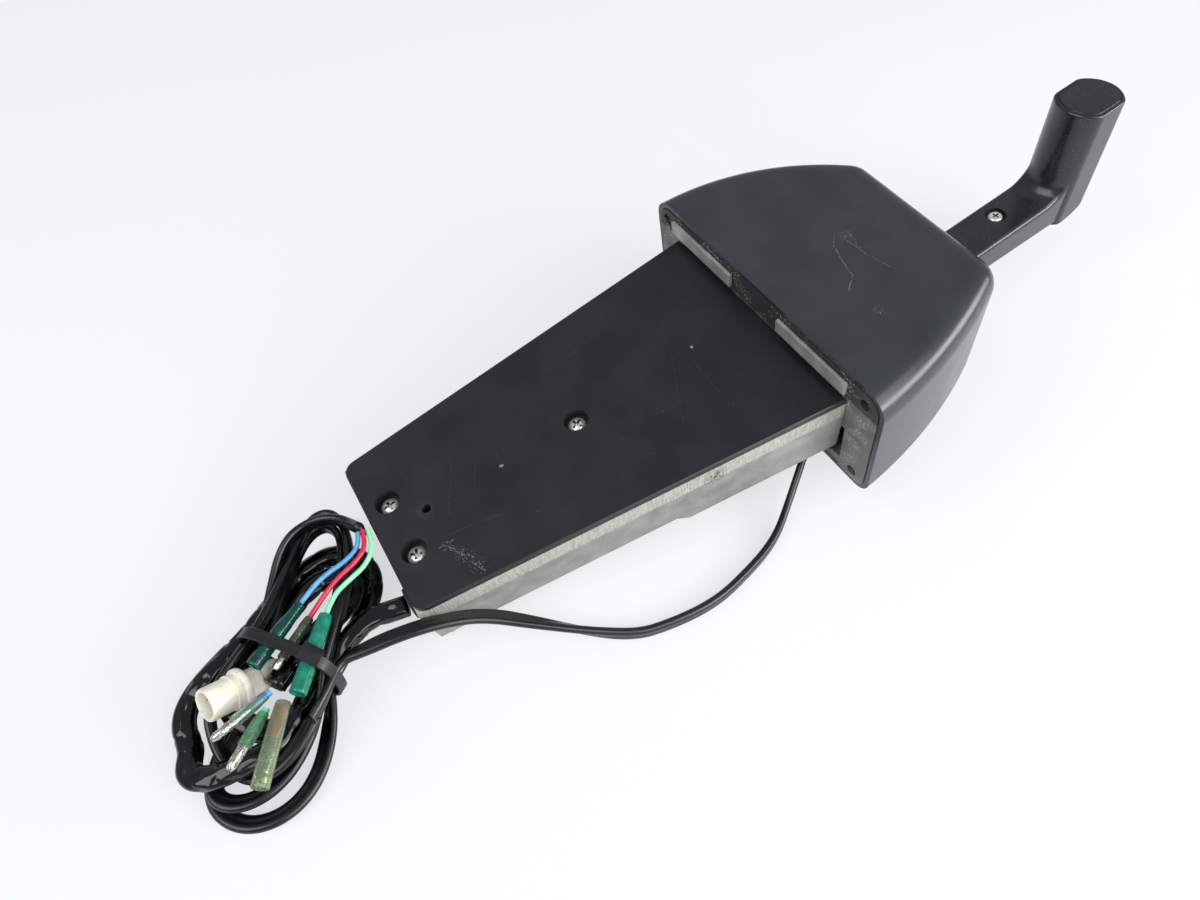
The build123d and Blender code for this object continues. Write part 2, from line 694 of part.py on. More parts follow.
# ---------------------------------------------------------------- neutral switch
def neutral_switch():
    x0, x1, y0, y1 = switch_pad()
    body = block(x0, x1, y0, y1, switch_low, switch_low + switch_height)
    body = fillet(body.edges().filter_by(Axis.Z), 1.5)
    for x in switch_screw_x:
        body = body - rod(switch_screw_radius + 0.2, -60, 0, x, switch_screw_y)
    return body - along_y(plunger_radius + fit, y1 - 6, y1 + 1, stud_x, plunger_z)


def switch_plunger():
    y1 = switch_pad()[3]
    tip = shaft_y - cam_radius - clear
    pin = along_y(plunger_radius, y1 - 3.5, tip, stud_x, plunger_z)
    return fillet(pin.edges().group_by(Axis.Y)[-1], 0.6)


def switch_screws():
    screw = pan_screw(switch_height + 6, 2.3, switch_screw_radius)
    return [Pos(x, switch_screw_y, switch_low + switch_height) * screw for x in switch_screw_x]


def switch_pad():
    """Plan limits of the pad and of the switch on it."""
    y1 = shaft_y - driven_outer - 3.0
    return stud_x - 10, stud_x + 10, y1 - switch_depth, y1


# ---------------------------------------------------------------- lever, in its own frame: X along the arm
def mount_lever(shape):
    return Pos(shaft_x, shaft_y, 0) * Rot(0, 0, lever_angle) * shape


def grip_column(inset, height):
    """Round column with two flats along the arm, their corners blended."""
    radius = grip_radius - inset
    flat = grip_flat - inset
    column = extrude(Circle(radius) & Rectangle(4 * radius, 2 * flat), height)
    return Pos(grip_reach, 0, 0) * fillet(column.edges().filter_by(Axis.Z), flat_blend)


def lever_slab(half, spare=0.0):
    """Side view of arm and grip as an upright slab, its grip wider by a spare length."""
    near = grip_reach - grip_radius - spare
    far = grip_reach + grip_radius + spare
    corners = [(0, lever_inner), (near, lever_inner), (near, grip_top + 2), (far, grip_top + 2),
               (far, arm_outer), (hub_radius, hub_outer), (0, hub_outer)]
    slab = extrude(make_face(Polyline(*corners, close=True)), half, both=True)
    slab = Rot(90, 0, 0) * slab
    edges = slab.edges().filter_by(Axis.Y)
    throat = edges.sort_by_distance((near, 0, lever_inner))[0]
    slab = fillet(throat, grip_throat_radius)
    heel = slab.edges().filter_by(Axis.Y).sort_by_distance((far, 0, arm_outer))[0]
    return fillet(heel, grip_heel_radius)


def grip_flare():
    """Round foot of the grip, widening in a hollow curve down to the arm's inner face."""
    top = lever_inner + grip_throat_radius
    wide = grip_radius + grip_throat_radius
    lean_in = grip_throat_radius * sin(radians(45))
    outline = [Polyline((grip_radius, top), (0, top), (0, lever_inner - 3), (wide, lever_inner - 3),
                        (wide, lever_inner)),
               ThreePointArc((wide, lever_inner), (wide - lean_in, top - lean_in), (grip_radius, top))]
    flare = revolve(Rot(90, 0, 0) * make_face(outline), Axis.Z)
    return Pos(grip_reach, 0, 0) * flare


def outer_face(x):
    """Height of the arm's outer face at a distance from the hub."""
    share = (x - hub_radius) / (grip_reach + grip_radius - hub_radius)
    return hub_outer + (arm_outer - hub_outer) * share


def lever_arm():
    """Moulded lever: hub, arm and grip in one piece."""
    arm = lever_slab(lever_half_width) & block(0, grip_reach, -20, 20, -90, lever_inner)
    arm = arm + (grip_flare() & block(0, grip_reach, -lever_half_width, lever_half_width, -90, 90))
    sides = [e for e in arm.edges() if abs(abs(e.bounding_box().min.Y) - lever_half_width) < 0.01
             and e.bounding_box().size.Y < 0.02 and e.bounding_box().max.X < grip_reach - 3
             and e.bounding_box().size.X > 4]
    arm = fillet(sides, lever_edge_radius)
    column = Pos(0, 0, -90) * grip_column(0.0, 90 + grip_top)
    column = fillet(column.faces().sort_by(Axis.Z)[-1].edges(), 1.4)
    grip = column & lever_slab(grip_radius + 2, grip_spare)
    hub = rod(hub_radius, hub_outer, lever_inner)
    hub = fillet(hub.edges(), lever_edge_radius)
    hub = hub + rod(neck_radius, lever_inner - 4, neck_top)
    body = arm + grip + hub
    # shaft bore, button pocket and set screw
    body = body - rod(shaft_radius + fit, hub_floor, 0)
    body = body - rod(button_radius + clear, hub_outer - 3, hub_floor - pocket_web)
    body = body - along_y(set_screw_radius + fit, shaft_radius - 1, hub_radius + 2, 0, set_screw_z)
    # cap seat
    seat = Pos(0, 0, grip_top - cap_thickness) * grip_column(cap_inset, 20)
    body = body - seat
    # recessed screw on the inner face
    x, y = arm_screw_reach, arm_screw_offset
    body = body - rod(recess_radius, lever_inner - recess_depth + 2, lever_inner + 4, x, y)
    body = body - rod(shank_radius + 0.3, -90, lever_inner, x, y)
    # trough behind the outer cover strip, and the switch pocket
    body = body - cover_seat(0.0) - cable_trough()
    return body - switch_pocket()


def cover_seat(gap):
    """Space of the strip that closes the arm's trough, smaller by a gap all round."""
    x0 = hub_radius + 6 + gap
    x1 = strip_end - gap
    half = lever_half_width - 3.8 - gap
    low = arm_outer - 5
    seat = block(x0, x1, -half, half, low, outer_face(x0) + strip_thickness - gap)
    above = [(x0 - 1, low), (x1 + 1, low), (x1 + 1, outer_face(x1 + 1) + strip_thickness - gap),
             (x0 - 1, outer_face(x0 - 1) + strip_thickness - gap)]
    wedge = Rot(90, 0, 0) * extrude(make_face(Polyline(*above, close=True)), half, both=True)
    return seat & wedge


def cable_trough():
    roof = lever_inner - recess_depth - 3
    trough = block(hub_radius + 9, strip_end - 3, -5.5, 5.5, -80, roof)
    return trough + rod(post_radius + clear, -80, roof, arm_screw_reach, arm_screw_offset)


def lever_cover():
    """Strip let into the arm's outer face, with a post for its screw."""
    strip = cover_seat(clear / 2) & lever_slab(lever_half_width)
    x, y = arm_screw_reach, arm_screw_offset
    post = rod(post_radius, outer_face(x) + 1, lever_inner - recess_depth - 3.1, x, y)
    ring_space = rod(shank_radius + fit, outer_face(x) + 1.5, 0, x, y)
    return strip + post - ring_space


def arm_screw():
    x, y = arm_screw_reach, arm_screw_offset
    return Pos(x, y, lever_inner - recess_depth + 2) * pan_screw(12.0)


def hub_set_screw():
    screw = along_y(set_screw_radius, shaft_radius + 0.1, shaft_radius + 9, 0, set_screw_z)
    socket = Pos(0, shaft_radius + 9, set_screw_z) * Rot(90, 0, 0) * extrude(RegularPolygon(1.6, 6), 3)
    return screw - socket


def grip_cap():
    cap = grip_column(cap_inset + cap_gap, cap_thickness + 0.3)
    cap = fillet(cap.faces().sort_by(Axis.Z)[-1].edges(), 0.5)
    return Pos(0, 0, grip_top - cap_thickness) * cap


def free_throttle_button():
    low = hub_outer - button_stand
    button = rod(button_radius, low, low + 5.0)
    button = fillet(button.edges().group_by(Axis.Z)[0], 1.0)
    return button - rod(button_radius - 2, low + button_top, low + 9)


def button_spring():
    low = hub_outer - button_stand + button_top + 0.5
    height = hub_floor - pocket_web - 0.5 - low
    path = Pos(0, 0, low) * Helix(pitch=2.0, height=height, radius=4.6)
    section = Plane(origin=path @ 0, z_dir=path % 0) * Circle(0.4)
    return sweep(section, path=path, is_frenet=True)


def switch_pocket():
    half = switch_width / 2 - 2.5
    x0 = switch_reach - switch_length / 2 + 3
    x1 = switch_reach + switch_length / 2 - 3
    return block(x0, x1, -half, half, -90, switch_roof)


def switch_bezel():
    """Frame of the trim switch, with its closed box inside the arm."""
    low = outer_face(switch_reach + switch_length / 2) - switch_stand
    x0 = switch_reach - switch_length / 2
    x1 = switch_reach + switch_length / 2
    half = switch_width / 2
    frame = block(x0, x1, -half, half, low, arm_outer + 8)
    frame = fillet(frame.edges().filter_by(Axis.Z), 6.0)
    frame = fillet(frame.faces().sort_by(Axis.Z)[0].edges(), 1.0)
    frame = frame - lever_slab(lever_half_width + 5) - lever_slab(lever_half_width + 5, grip_spare)
    box = block(x0 + 3 + clear, x1 - 3 - clear, -half + 2.5 + clear, half - 2.5 - clear,
                arm_outer - 1, switch_roof - 0.3)
    body = frame + box
    well_x = rocker_length / 2 + clear
    well_y = rocker_width / 2 + clear
    body = body - block(switch_reach - well_x, switch_reach + well_x, -well_y, well_y, -90, rocker_floor)
    pin = along_y(1.0 + fit, -well_y - 0.8, well_y + 0.8, switch_reach, rocker_axis_z)
    return body - pin


def trim_rocker():
    """Rocker with a crowned face and two raised ends."""
    low = arm_outer - switch_stand - 1.6
    half_x = rocker_length / 2 - 0.4
    half_y = rocker_width / 2
    body = block(switch_reach - half_x, switch_reach + half_x, -half_y, half_y, low, rocker_axis_z + 0.8)
    dish = Pos(switch_reach, 0, low - 38.6) * Rot(90, 0, 0) * Cylinder(40.0, 30)
    body = body - dish
    tail = rod(1.6, rocker_axis_z, rocker_axis_z + 3.2, switch_reach, 0)
    return body + tail - along_y(1.0 + fit, -10, 10, switch_reach, rocker_axis_z)


def rocker_pin():
    half = rocker_width / 2 + clear + 0.6
    return along_y(1.0, -half, half, switch_reach, rocker_axis_z)


# ---------------------------------------------------------------- grommets
def trim_grommet():
    """Rubber block that holds the trim lead in the mouth below the case."""
    y, z = trim_mouth
    block_out = block(-1, flange_thickness, y - 7, y + 7, -42.6, -root_depth - 0.05)
    block_out = fillet(block_out.edges().filter_by(Axis.X), 1.2)
    return block_out - along_x(trim_radius - 0.4, -3, flange_thickness + 2, y, z)


def harness_grommet():
    """Rubber ring in the tail wall, with a lip on both faces."""
    x = -case_length
    body = along_x(harness_hole_radius - fit, x - 1.8, x + case_wall + 1.2, harness_y, harness_z)
    for x0, x1 in ((x - 1.8, x - 0.02), (x + case_wall + 0.02, x + case_wall + 1.2)):
        body = body + along_x(harness_hole_radius + 1.2, x0, x1, harness_y, harness_z)
    return body - along_x(harness_radius - 0.5, x - 5, x + case_wall + 5, harness_y, harness_z)


# ---------------------------------------------------------------- cords, placed where the control lies
def cord_path(points):
    """Straight runs joined by arcs as large as the runs allow; gives the path and its least radius."""
    corners = [Vector(*p) for p in points]
    radii = []
    for a, b, c in zip(corners, corners[1:], corners[2:]):
        turn = radians((b - a).get_angle(c - b))
        radii.append(0.45 * min((b - a).length, (c - b).length) / tan(turn / 2))
    return FilletPolyline(*points, radius=radii), min(radii)


def cord_tube(name, points, radius):
    path, least = cord_path(points)
    tube = sweep(Plane(origin=path @ 0, z_dir=path % 0) * Circle(radius), path=path)
    share = tube.volume / (pi * radius**2 * path.length)
    print(name, "length", round(path.length, 1), "least radius", round(least, 1), "volume", round(share, 4))
    return tube


def bar(radius, start, end, before=0.0, after=0.0):
    """Cylinder between two points, longer by a length before and after them."""
    start, end = Vector(*start), Vector(*end)
    way = (end - start).normalized()
    first = start - way * before
    height = (end - start).length + before + after
    return extrude(Plane(origin=first, z_dir=way) * Circle(radius), height)


def hank_body():
    """Outer shape of the tied hank: a broad lower layer and a smaller layer on it."""
    low = extrude(make_face(Polyline(*hank_outline, close=True)), hank_low_height)
    low = fillet(low.edges().filter_by(Axis.Z), 5.0)
    high = Pos(0, 0, 2) * extrude(make_face(Polyline(*hank_upper, close=True)), hank_height - 2)
    high = fillet(high.edges().filter_by(Axis.Z), 4.0)
    return Pos(0, 0, hank_floor) * (low + high)


def tie_section(grow):
    """Section of the tie's loop, across the hank's waist, grown outwards."""
    width = tie_width
    corners = [(0, tie_low), (width, tie_low), (width, tie_high - 5), (width - 5, tie_high),
               (10, tie_high), (0, tie_high - 9)]
    face = make_face(Polyline(*corners, close=True))
    return offset(face, grow) if grow else face


def tie_plane(along=0.0):
    """Plane of the tie: X across the waist, Y up, its normal along the hank."""
    start, end = Vector(*tie_start, 0), Vector(*tie_end, 0)
    across = (end - start).normalized()
    normal = across.cross(Vector(0, 0, 1))
    return Plane(origin=start + normal * along, x_dir=across, z_dir=normal)


def cable_tie():
    """Nylon tie with its head on the upper right of the waist."""
    half = tie_band / 2
    plane = tie_plane(-half)
    loop = extrude(plane * tie_section(tie_thickness), tie_band) - extrude(plane * tie_section(0), tie_band)
    head_plane = tie_plane(-half - 1.5)
    u = tie_width - 4.5
    head = extrude(head_plane * Pos(u, tie_high - 2.5) * Rot(0, 0, -45) * Rectangle(8.5, 4.6), tie_band + 3)
    return loop + (head - extrude(tie_plane(-20) * tie_section(0), 40))


def hank(tubes):
    """The hank, open round the tie, the sockets of the cords and the round connector."""
    half = tie_band / 2 + 0.3
    waist = extrude(tie_plane(-half) * Rectangle(200, 120), 2 * half)
    waist = waist - extrude(tie_plane(-half - 1) * tie_section(0), 2 * half + 2)
    body = hank_body() - waist
    for tube in tubes:
        body = body - tube
    return body - bar(shell_radius + 2.2, shell_start, shell_end, 1, 1) - connector_room()


def connector_room():
    """Space above the round connector."""
    start, end = Vector(*shell_start), Vector(*shell_end)
    way = (end - start).normalized()
    plane = Plane(origin=start - way, x_dir=way, z_dir=(0, 0, 1))
    length = (end - start).length + 2
    return extrude(plane * Pos(length / 2, 0) * Rectangle(length, 2 * shell_radius + 4.4), 30)


def connector_shell():
    """Round plug housing: body, collar and open cup."""
    start, end = Vector(*shell_start), Vector(*shell_end)
    way = (end - start).normalized()
    reach = (end - start).length
    body = bar(shell_radius - 1.4, shell_start, shell_end)
    collar = start + way * (reach * 0.55)
    body = body + bar(shell_radius + 1.4, tuple(collar), tuple(collar + way * 2.2))
    body = body + bar(shell_radius, tuple(collar + way * 2.2), shell_end)
    cup = start + way * (reach * 0.66)
    return body - bar(shell_radius - 1.6, tuple(cup), shell_end, 0, 2)


def connector_pins():
    """Three round pins in the plug's cup."""
    start, end = Vector(*shell_start), Vector(*shell_end)
    way = (end - start).normalized()
    side = way.cross(Vector(0, 0, 1))
    foot = start + way * ((end - start).length * 0.66)
    pins = []
    for turn in (90, 210, 330):
        shift = side * (2.6 * cos(radians(turn))) + Vector(0, 0, 2.6 * sin(radians(turn)))
        pins.append(bar(0.9, tuple(foot + shift), tuple(foot + shift + way * 6.5)))
    return pins


def sleeve(radius, start, end):
    return bar(radius, start, end) - bar(radius - sleeve_wall, start, end, 2, 2)


def terminal(radius, start, end, beyond):
    """Crimped barrel inside a sleeve; a male one ends in a bullet beyond the sleeve."""
    start, end = Vector(*start), Vector(*end)
    way = (end - start).normalized()
    bore = radius - sleeve_wall - fit
    if not beyond:
        return bar(bore, tuple(start + way * 4.0), tuple(end - way * 3.0))
    barrel = bar(bore, tuple(start + way * 4.0), tuple(end + way * 1.5))
    tip = bar(bore * 0.8, tuple(end + way * 1.5), tuple(end + way * beyond))
    tip = chamfer(tip.edges().filter_by(GeomType.CIRCLE).sort_by_distance(end + way * beyond)[0], 0.5)
    return barrel + tip


# ---------------------------------------------------------------- the control, put together
def control():
    """Every piece of the control by node name, in the control's own frame."""
    lever = {
        "lever_arm": [lever_arm()], "lever_cover": [lever_cover()], "arm_screw": [arm_screw()],
        "hub_set_screw": [hub_set_screw()], "grip_cap": [grip_cap()],
        "free_throttle_button": [free_throttle_button()], "button_spring": [button_spring()],
        "switch_bezel": [switch_bezel()], "trim_rocker": [trim_rocker()], "rocker_pin": [rocker_pin()],
    }
    pieces = {name: [mount_lever(s) for s in shapes] for name, shapes in lever.items()}
    pieces.update({
        "mechanism_case": [mechanism_case()], "cover_plate": [cover_plate()],
        "cover_screws": cover_screws(), "cable_retainer": [cable_retainer()],
        "lever_bracket": [lever_bracket()], "bracket_bolts": bracket_bolts(),
        "housing_cover": [housing_cover()], "hub_seal": [hub_seal()],
        "main_shaft": [main_shaft()], "drive_gear": [drive_gear()], "drive_key": [drive_key()],
        "shaft_clip": [shaft_clip()], "lower_bush": [lower_bush()], "upper_bush": [upper_bush()],
        "spacer_tube": [spacer_tube()], "gear_stud": [gear_stud()], "stud_clip": [stud_clip()],
        "gear_bush": [gear_bush()], "driven_gear": [driven_gear()],
        "shift_arm": [cable_arm(shift_low, shift_reach, 90)],
        "throttle_arm": [cable_arm(throttle_low, throttle_reach, 180)],
        "shift_pin": [cable_pin(shift_low, shift_reach, 90, True)],
        "throttle_pin": [cable_pin(throttle_low, throttle_reach, 180, False)],
        "arm_rivets": arm_rivets(), "detent_ball": [detent_ball()],
        "detent_spring": [detent_spring()], "detent_plug": [guide_plug(1, bridge_low + 1.6)],
        "friction_pad": [friction_pad()], "friction_screw": [guide_plug(-1, gear_top + 9.1)],
        "neutral_switch": [neutral_switch()], "switch_plunger": [switch_plunger()],
        "switch_screws": switch_screws(), "trim_grommet": [trim_grommet()],
        "harness_grommet": [harness_grommet()],
    })
    return pieces


def cords():
    """Leads, hank and connectors by node name, where the control lies."""
    trim = cord_tube("trim lead", trim_route, trim_radius)
    harness = cord_tube("harness lead", harness_route, harness_radius)
    stub = cord_tube("sheath end", sheath_end, trim_radius)
    sleeves = upper_sleeves + lower_sleeves
    return {
        "trim_lead": [trim], "harness_lead": [harness], "lead_end": [stub],
        "cord_hank": [hank((trim, harness, stub))], "cable_tie": [cable_tie()],
        "wire_blue": [cord_tube("blue wire", wire_blue_route, wire_radius)],
        "wire_red": [cord_tube("red wire", wire_red_route, wire_radius)],
        "wire_green": [cord_tube("green wire", wire_green_route, wire_radius)],
        "female_sleeves": [sleeve(r, a, b) for r, a, b, beyond in sleeves if not beyond],
        "male_sleeves": [sleeve(r, a, b) for r, a, b, beyond in sleeves if beyond],
        "bullet_terminals": [terminal(*values) for values in sleeves],
        "connector_shell": [connector_shell()], "connector_pins": connector_pins(),
    }


def laid_down(pieces):
    """Turn the control on to its lever side, so that hub and feet touch the surface."""
    hub_edge = shaft_x - hub_radius + lever_edge_radius
    foot_edge = -case_length + foot_inset - foot_radius
    lean = degrees(atan2(-hub_outer - tail_depth - foot_height, hub_edge - foot_edge))
    turned = {n: [Rot(0, -lean, 0) * s for s in shapes] for n, shapes in pieces.items()}
    boxes = [s.bounding_box() for shapes in turned.values() for s in shapes]
    low = [min(v) for v in zip(*(tuple(b.min) for b in boxes))]
    high = [max(v) for v in zip(*(tuple(b.max) for b in boxes))]
    shift = (-(low[0] + high[0]) / 2, -(low[1] + high[1]) / 2, -low[2])
    print("lean", round(lean, 3), "shift", [round(v, 4) for v in shift])
    print("size", [round(b - a, 2) for a, b in zip(low, high)])
    return {n: [Pos(*shift) * s for s in shapes] for n, shapes in turned.items()}


os.makedirs("parts", exist_ok=True)
parts = laid_down(control())
parts.update(cords())
for name, shapes in parts.items():
    export_step(shapes[0] if len(shapes) == 1 else Compound(children=shapes), f"parts/{name}.step")
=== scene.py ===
import bpy
import bmesh
import json
import math
from mathutils import Matrix, Vector, noise


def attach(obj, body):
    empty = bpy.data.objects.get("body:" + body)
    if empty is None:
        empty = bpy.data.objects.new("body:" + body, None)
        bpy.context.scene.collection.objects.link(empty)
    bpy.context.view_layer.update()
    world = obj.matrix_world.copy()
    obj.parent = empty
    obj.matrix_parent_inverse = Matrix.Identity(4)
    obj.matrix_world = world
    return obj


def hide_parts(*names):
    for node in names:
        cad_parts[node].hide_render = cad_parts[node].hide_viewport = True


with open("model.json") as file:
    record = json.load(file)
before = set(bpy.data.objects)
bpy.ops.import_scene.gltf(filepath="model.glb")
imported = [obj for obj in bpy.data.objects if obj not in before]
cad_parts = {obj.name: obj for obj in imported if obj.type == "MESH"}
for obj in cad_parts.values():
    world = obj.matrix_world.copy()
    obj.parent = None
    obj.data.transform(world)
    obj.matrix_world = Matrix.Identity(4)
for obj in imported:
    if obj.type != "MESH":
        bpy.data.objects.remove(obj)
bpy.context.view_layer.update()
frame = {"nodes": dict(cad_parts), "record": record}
nodes = frame["nodes"]
mm = 0.001
cameraValues = {
    "spot": (-0.22758, -0.19544, 0.31526),
    "turn": (37.803, -0.149, -31.099),      # degrees, round X, Y and Z
    "lens": 24.316,
    "sensor": 36.0,
}

roomValues = {
    "floorSize": 9.0,
    "floorTone": "#E6E8E9",
    "paperTone": "#F6F9FA",                  # what the camera sees of the evenly lit paper
    "paperShare": 0.66,
    "airTone": "#F6FAFF",
    "airStrength": 0.38,
    "seenStrength": 0.95,
}

lampValues = {                               # spot and aim in metres, power in watts
    "windowLamp": {"spot": (0.35, -1.35, 1.2), "aim": (0.0, 0.0, 0.0), "size": (1.6, 1.6), "power": 26.0},
    "lowLamp": {"spot": (0.95, -1.1, 0.55), "aim": (0.05, 0.0, 0.05), "size": (1.6, 0.42), "power": 20.0},
    "leftLamp": {"spot": (-1.3, -0.1, 1.3), "aim": (-0.1, 0.0, 0.0), "size": (1.2, 1.2), "power": 15.0},
}

layValues = {                                # how the control lies on its lever side
    "lean": 9.984003,                        # degrees
    "shift": (-26.7235, 0.726, 66.0657),
}


def hexColour(text):
    # sRGB hex to linear colour
    parts = [int(text[i:i + 2], 16) / 255 for i in (1, 3, 5)]
    return tuple(c / 12.92 if c <= 0.04045 else ((c + 0.055) / 1.055) ** 2.4 for c in parts) + (1.0,)


def feed(node, inputs):
    # each input takes a value or another node's output
    for key, value in inputs.items():
        if isinstance(value, bpy.types.NodeSocket):
            node.id_data.links.new(value, node.inputs[key])
        else:
            node.inputs[key].default_value = value


def addNode(tree, kind, inputs=None, **settings):
    node = tree.nodes.new(kind)
    for key, value in settings.items():
        setattr(node, key, value)
    feed(node, inputs or {})
    return node


def made(kind, inputs, socket=0, **settings):
    # one output of a new node, in the tree that its linked inputs come from
    tree = next(value.id_data for value in inputs.values() if isinstance(value, bpy.types.NodeSocket))
    return addNode(tree, kind, inputs, **settings).outputs[socket]


def worked(kind, first, second):
    return made("ShaderNodeMath", {0: first, 1: second}, operation=kind)


def vectorWork(kind, first, second, socket=0):
    return made("ShaderNodeVectorMath", {0: first, 1: second}, socket, operation=kind)


def times(first, second):
    return worked("MULTIPLY", first, second)


def strongest(first, *others):
    for other in others:
        first = worked("MAXIMUM", first, other)
    return first


def ramp(value, low, high):
    # 0 at the low value and 1 at the high one
    return made("ShaderNodeMapRange", {"Value": value, "From Min": low, "From Max": high})


def graded(share, low, high):
    # the low value where the share is 0 and the high one where it is 1
    return made("ShaderNodeMapRange", {"Value": share, "To Min": low, "To Max": high})


def laidDown(x, y, z):
    # a point of the control's own frame, in mm, where it lies, in metres
    turn = Matrix.Rotation(math.radians(-layValues["lean"]), 3, "Y")
    return (turn @ Vector((x, y, z)) + Vector(layValues["shift"])) * mm


def intoScene(thing):
    bpy.context.scene.collection.objects.link(thing)
    return thing


def keepPiece(piece, slot, *replaced, material=None):
    # finish of a new piece: its material, the body that it rides on and the nodes that it stands for
    if piece.name not in bpy.context.scene.collection.objects:
        intoScene(piece)
    piece.data.materials.clear()
    piece.data.materials.append(material or finishes[slot])
    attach(piece, "housing")
    if replaced:
        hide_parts(*replaced)
    return piece


def makeCamera(values):
    data = bpy.data.cameras.new("stillCamera")
    data.lens = values["lens"]
    data.sensor_width = values["sensor"]
    data.sensor_fit = "HORIZONTAL"
    data.clip_start = 0.01
    camera = intoScene(bpy.data.objects.new("stillCamera", data))
    camera.location = values["spot"]
    camera.rotation_euler = [math.radians(a) for a in values["turn"]]
    bpy.context.scene.camera = camera


def cameraRay(tree):
    return addNode(tree, "ShaderNodeLightPath").outputs["Is Camera Ray"]


def makeRoom(values, lamps):
    size = values["floorSize"] / 2
    mesh = bpy.data.meshes.new("floor")
    mesh.from_pydata([(-size, -size, 0), (size, -size, 0), (size, size, 0), (-size, size, 0)], [], [(0, 1, 2, 3)])
    floor = intoScene(bpy.data.objects.new("floor", mesh))
    paper = bpy.data.materials.new("paleBackdropPaper")   # even and matte, keeps the soft shadow
    paper.use_nodes = True
    tree = paper.node_tree
    shader = tree.nodes["Principled BSDF"]
    feed(shader, {"Base Color": hexColour(values["floorTone"]), "Roughness": 0.9, "Specular IOR Level": 0.1})
    even = addNode(tree, "ShaderNodeEmission", {"Color": hexColour(values["paperTone"])}).outputs[0]
    share = times(cameraRay(tree), values["paperShare"])
    mixed = made("ShaderNodeMixShader", {0: share, 1: shader.outputs[0], 2: even})
    feed(tree.nodes["Material Output"], {"Surface": mixed})
    mesh.materials.append(paper)
    world = bpy.data.worlds.new("studioAir")
    world.use_nodes = True
    glow = graded(cameraRay(world.node_tree), values["airStrength"], values["seenStrength"])
    feed(world.node_tree.nodes["Background"], {"Color": hexColour(values["airTone"]), "Strength": glow})
    bpy.context.scene.world = world
    for name, lamp in lamps.items():
        data = bpy.data.lights.new(name, "AREA")
        data.shape = "RECTANGLE"
        data.size, data.size_y = lamp["size"]
        data.energy = lamp["power"]
        holder = intoScene(bpy.data.objects.new(name, data))
        holder.location = lamp["spot"]
        way = Vector(lamp["aim"]) - Vector(lamp["spot"])
        holder.rotation_euler = way.to_track_quat("-Z", "Y").to_euler()
    bpy.context.scene.view_settings.view_transform = "Standard"


makeCamera(cameraValues)
makeRoom(roomValues, lampValues)
print("camera and room set")


# Materials. Every pattern reads Object coordinates in metres or the piece's own UV map.

maskCores = {"spot": 0.35, "line": 0.3}      # share of a mark's radius or width that is fully marked


def newFinish(name):
    material = bpy.data.materials.new(name)
    material.use_nodes = True
    tree = material.node_tree
    tree.nodes.clear()
    shader = addNode(tree, "ShaderNodeBsdfPrincipled")
    addNode(tree, "ShaderNodeOutputMaterial", {"Surface": shader.outputs["BSDF"]})
    return material, shader, addNode(tree, "ShaderNodeTexCoord").outputs["Object"]


def controlPlace(place):
    # position in the control's own frame, in metres: X along the case, Z out of the cover plate
    moved = vectorWork("SUBTRACT", place, [v * mm for v in layValues["shift"]])
    return made("ShaderNodeVectorRotate", {"Vector": moved, "Axis": (0.0, 1.0, 0.0),
                                           "Angle": math.radians(layValues["lean"])}, rotation_type="AXIS_ANGLE")


def patches(place, size, low, high, detail=3.0, stretch=(1.0, 1.0, 1.0)):
    # soft patches of a size in mm: 0 below the low level of the noise, 1 above the high one
    spread = made("ShaderNodeMapping", {"Vector": place, "Scale": stretch})
    grain = made("ShaderNodeTexNoise", {"Vector": spread, "Scale": 1 / (size * mm), "Detail": detail}, "Fac")
    return ramp(grain, low, high)


def patterns(place, values):
    # every noise of a material by its name; a row holds size in mm, low, high, detail and stretch
    return {name: patches(place, *row) for name, row in values["patterns"].items()}


def spotMask(place, centre, radius):
    # 1 at a point, fading to 0 at a radius; both in mm, and a centre of two numbers lies at Z 0
    centre = [v * mm for v in (*centre, 0.0)[:3]]
    return ramp(vectorWork("DISTANCE", place, centre, "Value"), radius * mm, radius * mm * maskCores["spot"])


def scratchMask(place, start, end, width):
    # a line in the plane of Z 0, from start to end and as wide as given, in mm
    start, end = Vector((*start, 0.0)) * mm, Vector((*end, 0.0)) * mm
    run = end - start
    away = vectorWork("SUBTRACT", place, start)
    along = vectorWork("DOT_PRODUCT", away, run / run.length_squared, "Value")
    held = made("ShaderNodeClamp", {"Value": along})
    foot = made("ShaderNodeVectorMath", {0: run, "Scale": held}, operation="SCALE")
    apart = vectorWork("DISTANCE", away, foot, "Value")
    return ramp(apart, width * mm, width * mm * maskCores["line"])


def wavering(place, scale, detail, sway, offset=None):
    # position seen along Z and swayed sideways, so that straight lines drawn on it waver
    wave = made("ShaderNodeTexNoise", {"Vector": place, "Scale": scale, "Detail": detail}, "Color")
    wavy = made("ShaderNodeVectorMath", {0: wave, "Scale": sway * mm}, operation="SCALE")
    bent = vectorWork("ADD", place, wavy)
    if offset is not None:
        bent = vectorWork("ADD", bent, (offset * mm, offset * mm, 0.0))
    return vectorWork("MULTIPLY", bent, (1.0, 1.0, 0.0))


def blended(share, under, over):
    # colour mixed by a share; under and over are hex values or outputs
    under, over = (hexColour(colour) if isinstance(colour, str) else colour for colour in (under, over))
    return made("ShaderNodeMix", {0: share, 6: under, 7: over}, 2, data_type="RGBA")


def dress(shader, colour, rough, ior=1.5, metal=0.0):
    feed(shader, {"Base Color": colour, "Roughness": rough, "IOR": ior, "Metallic": metal})


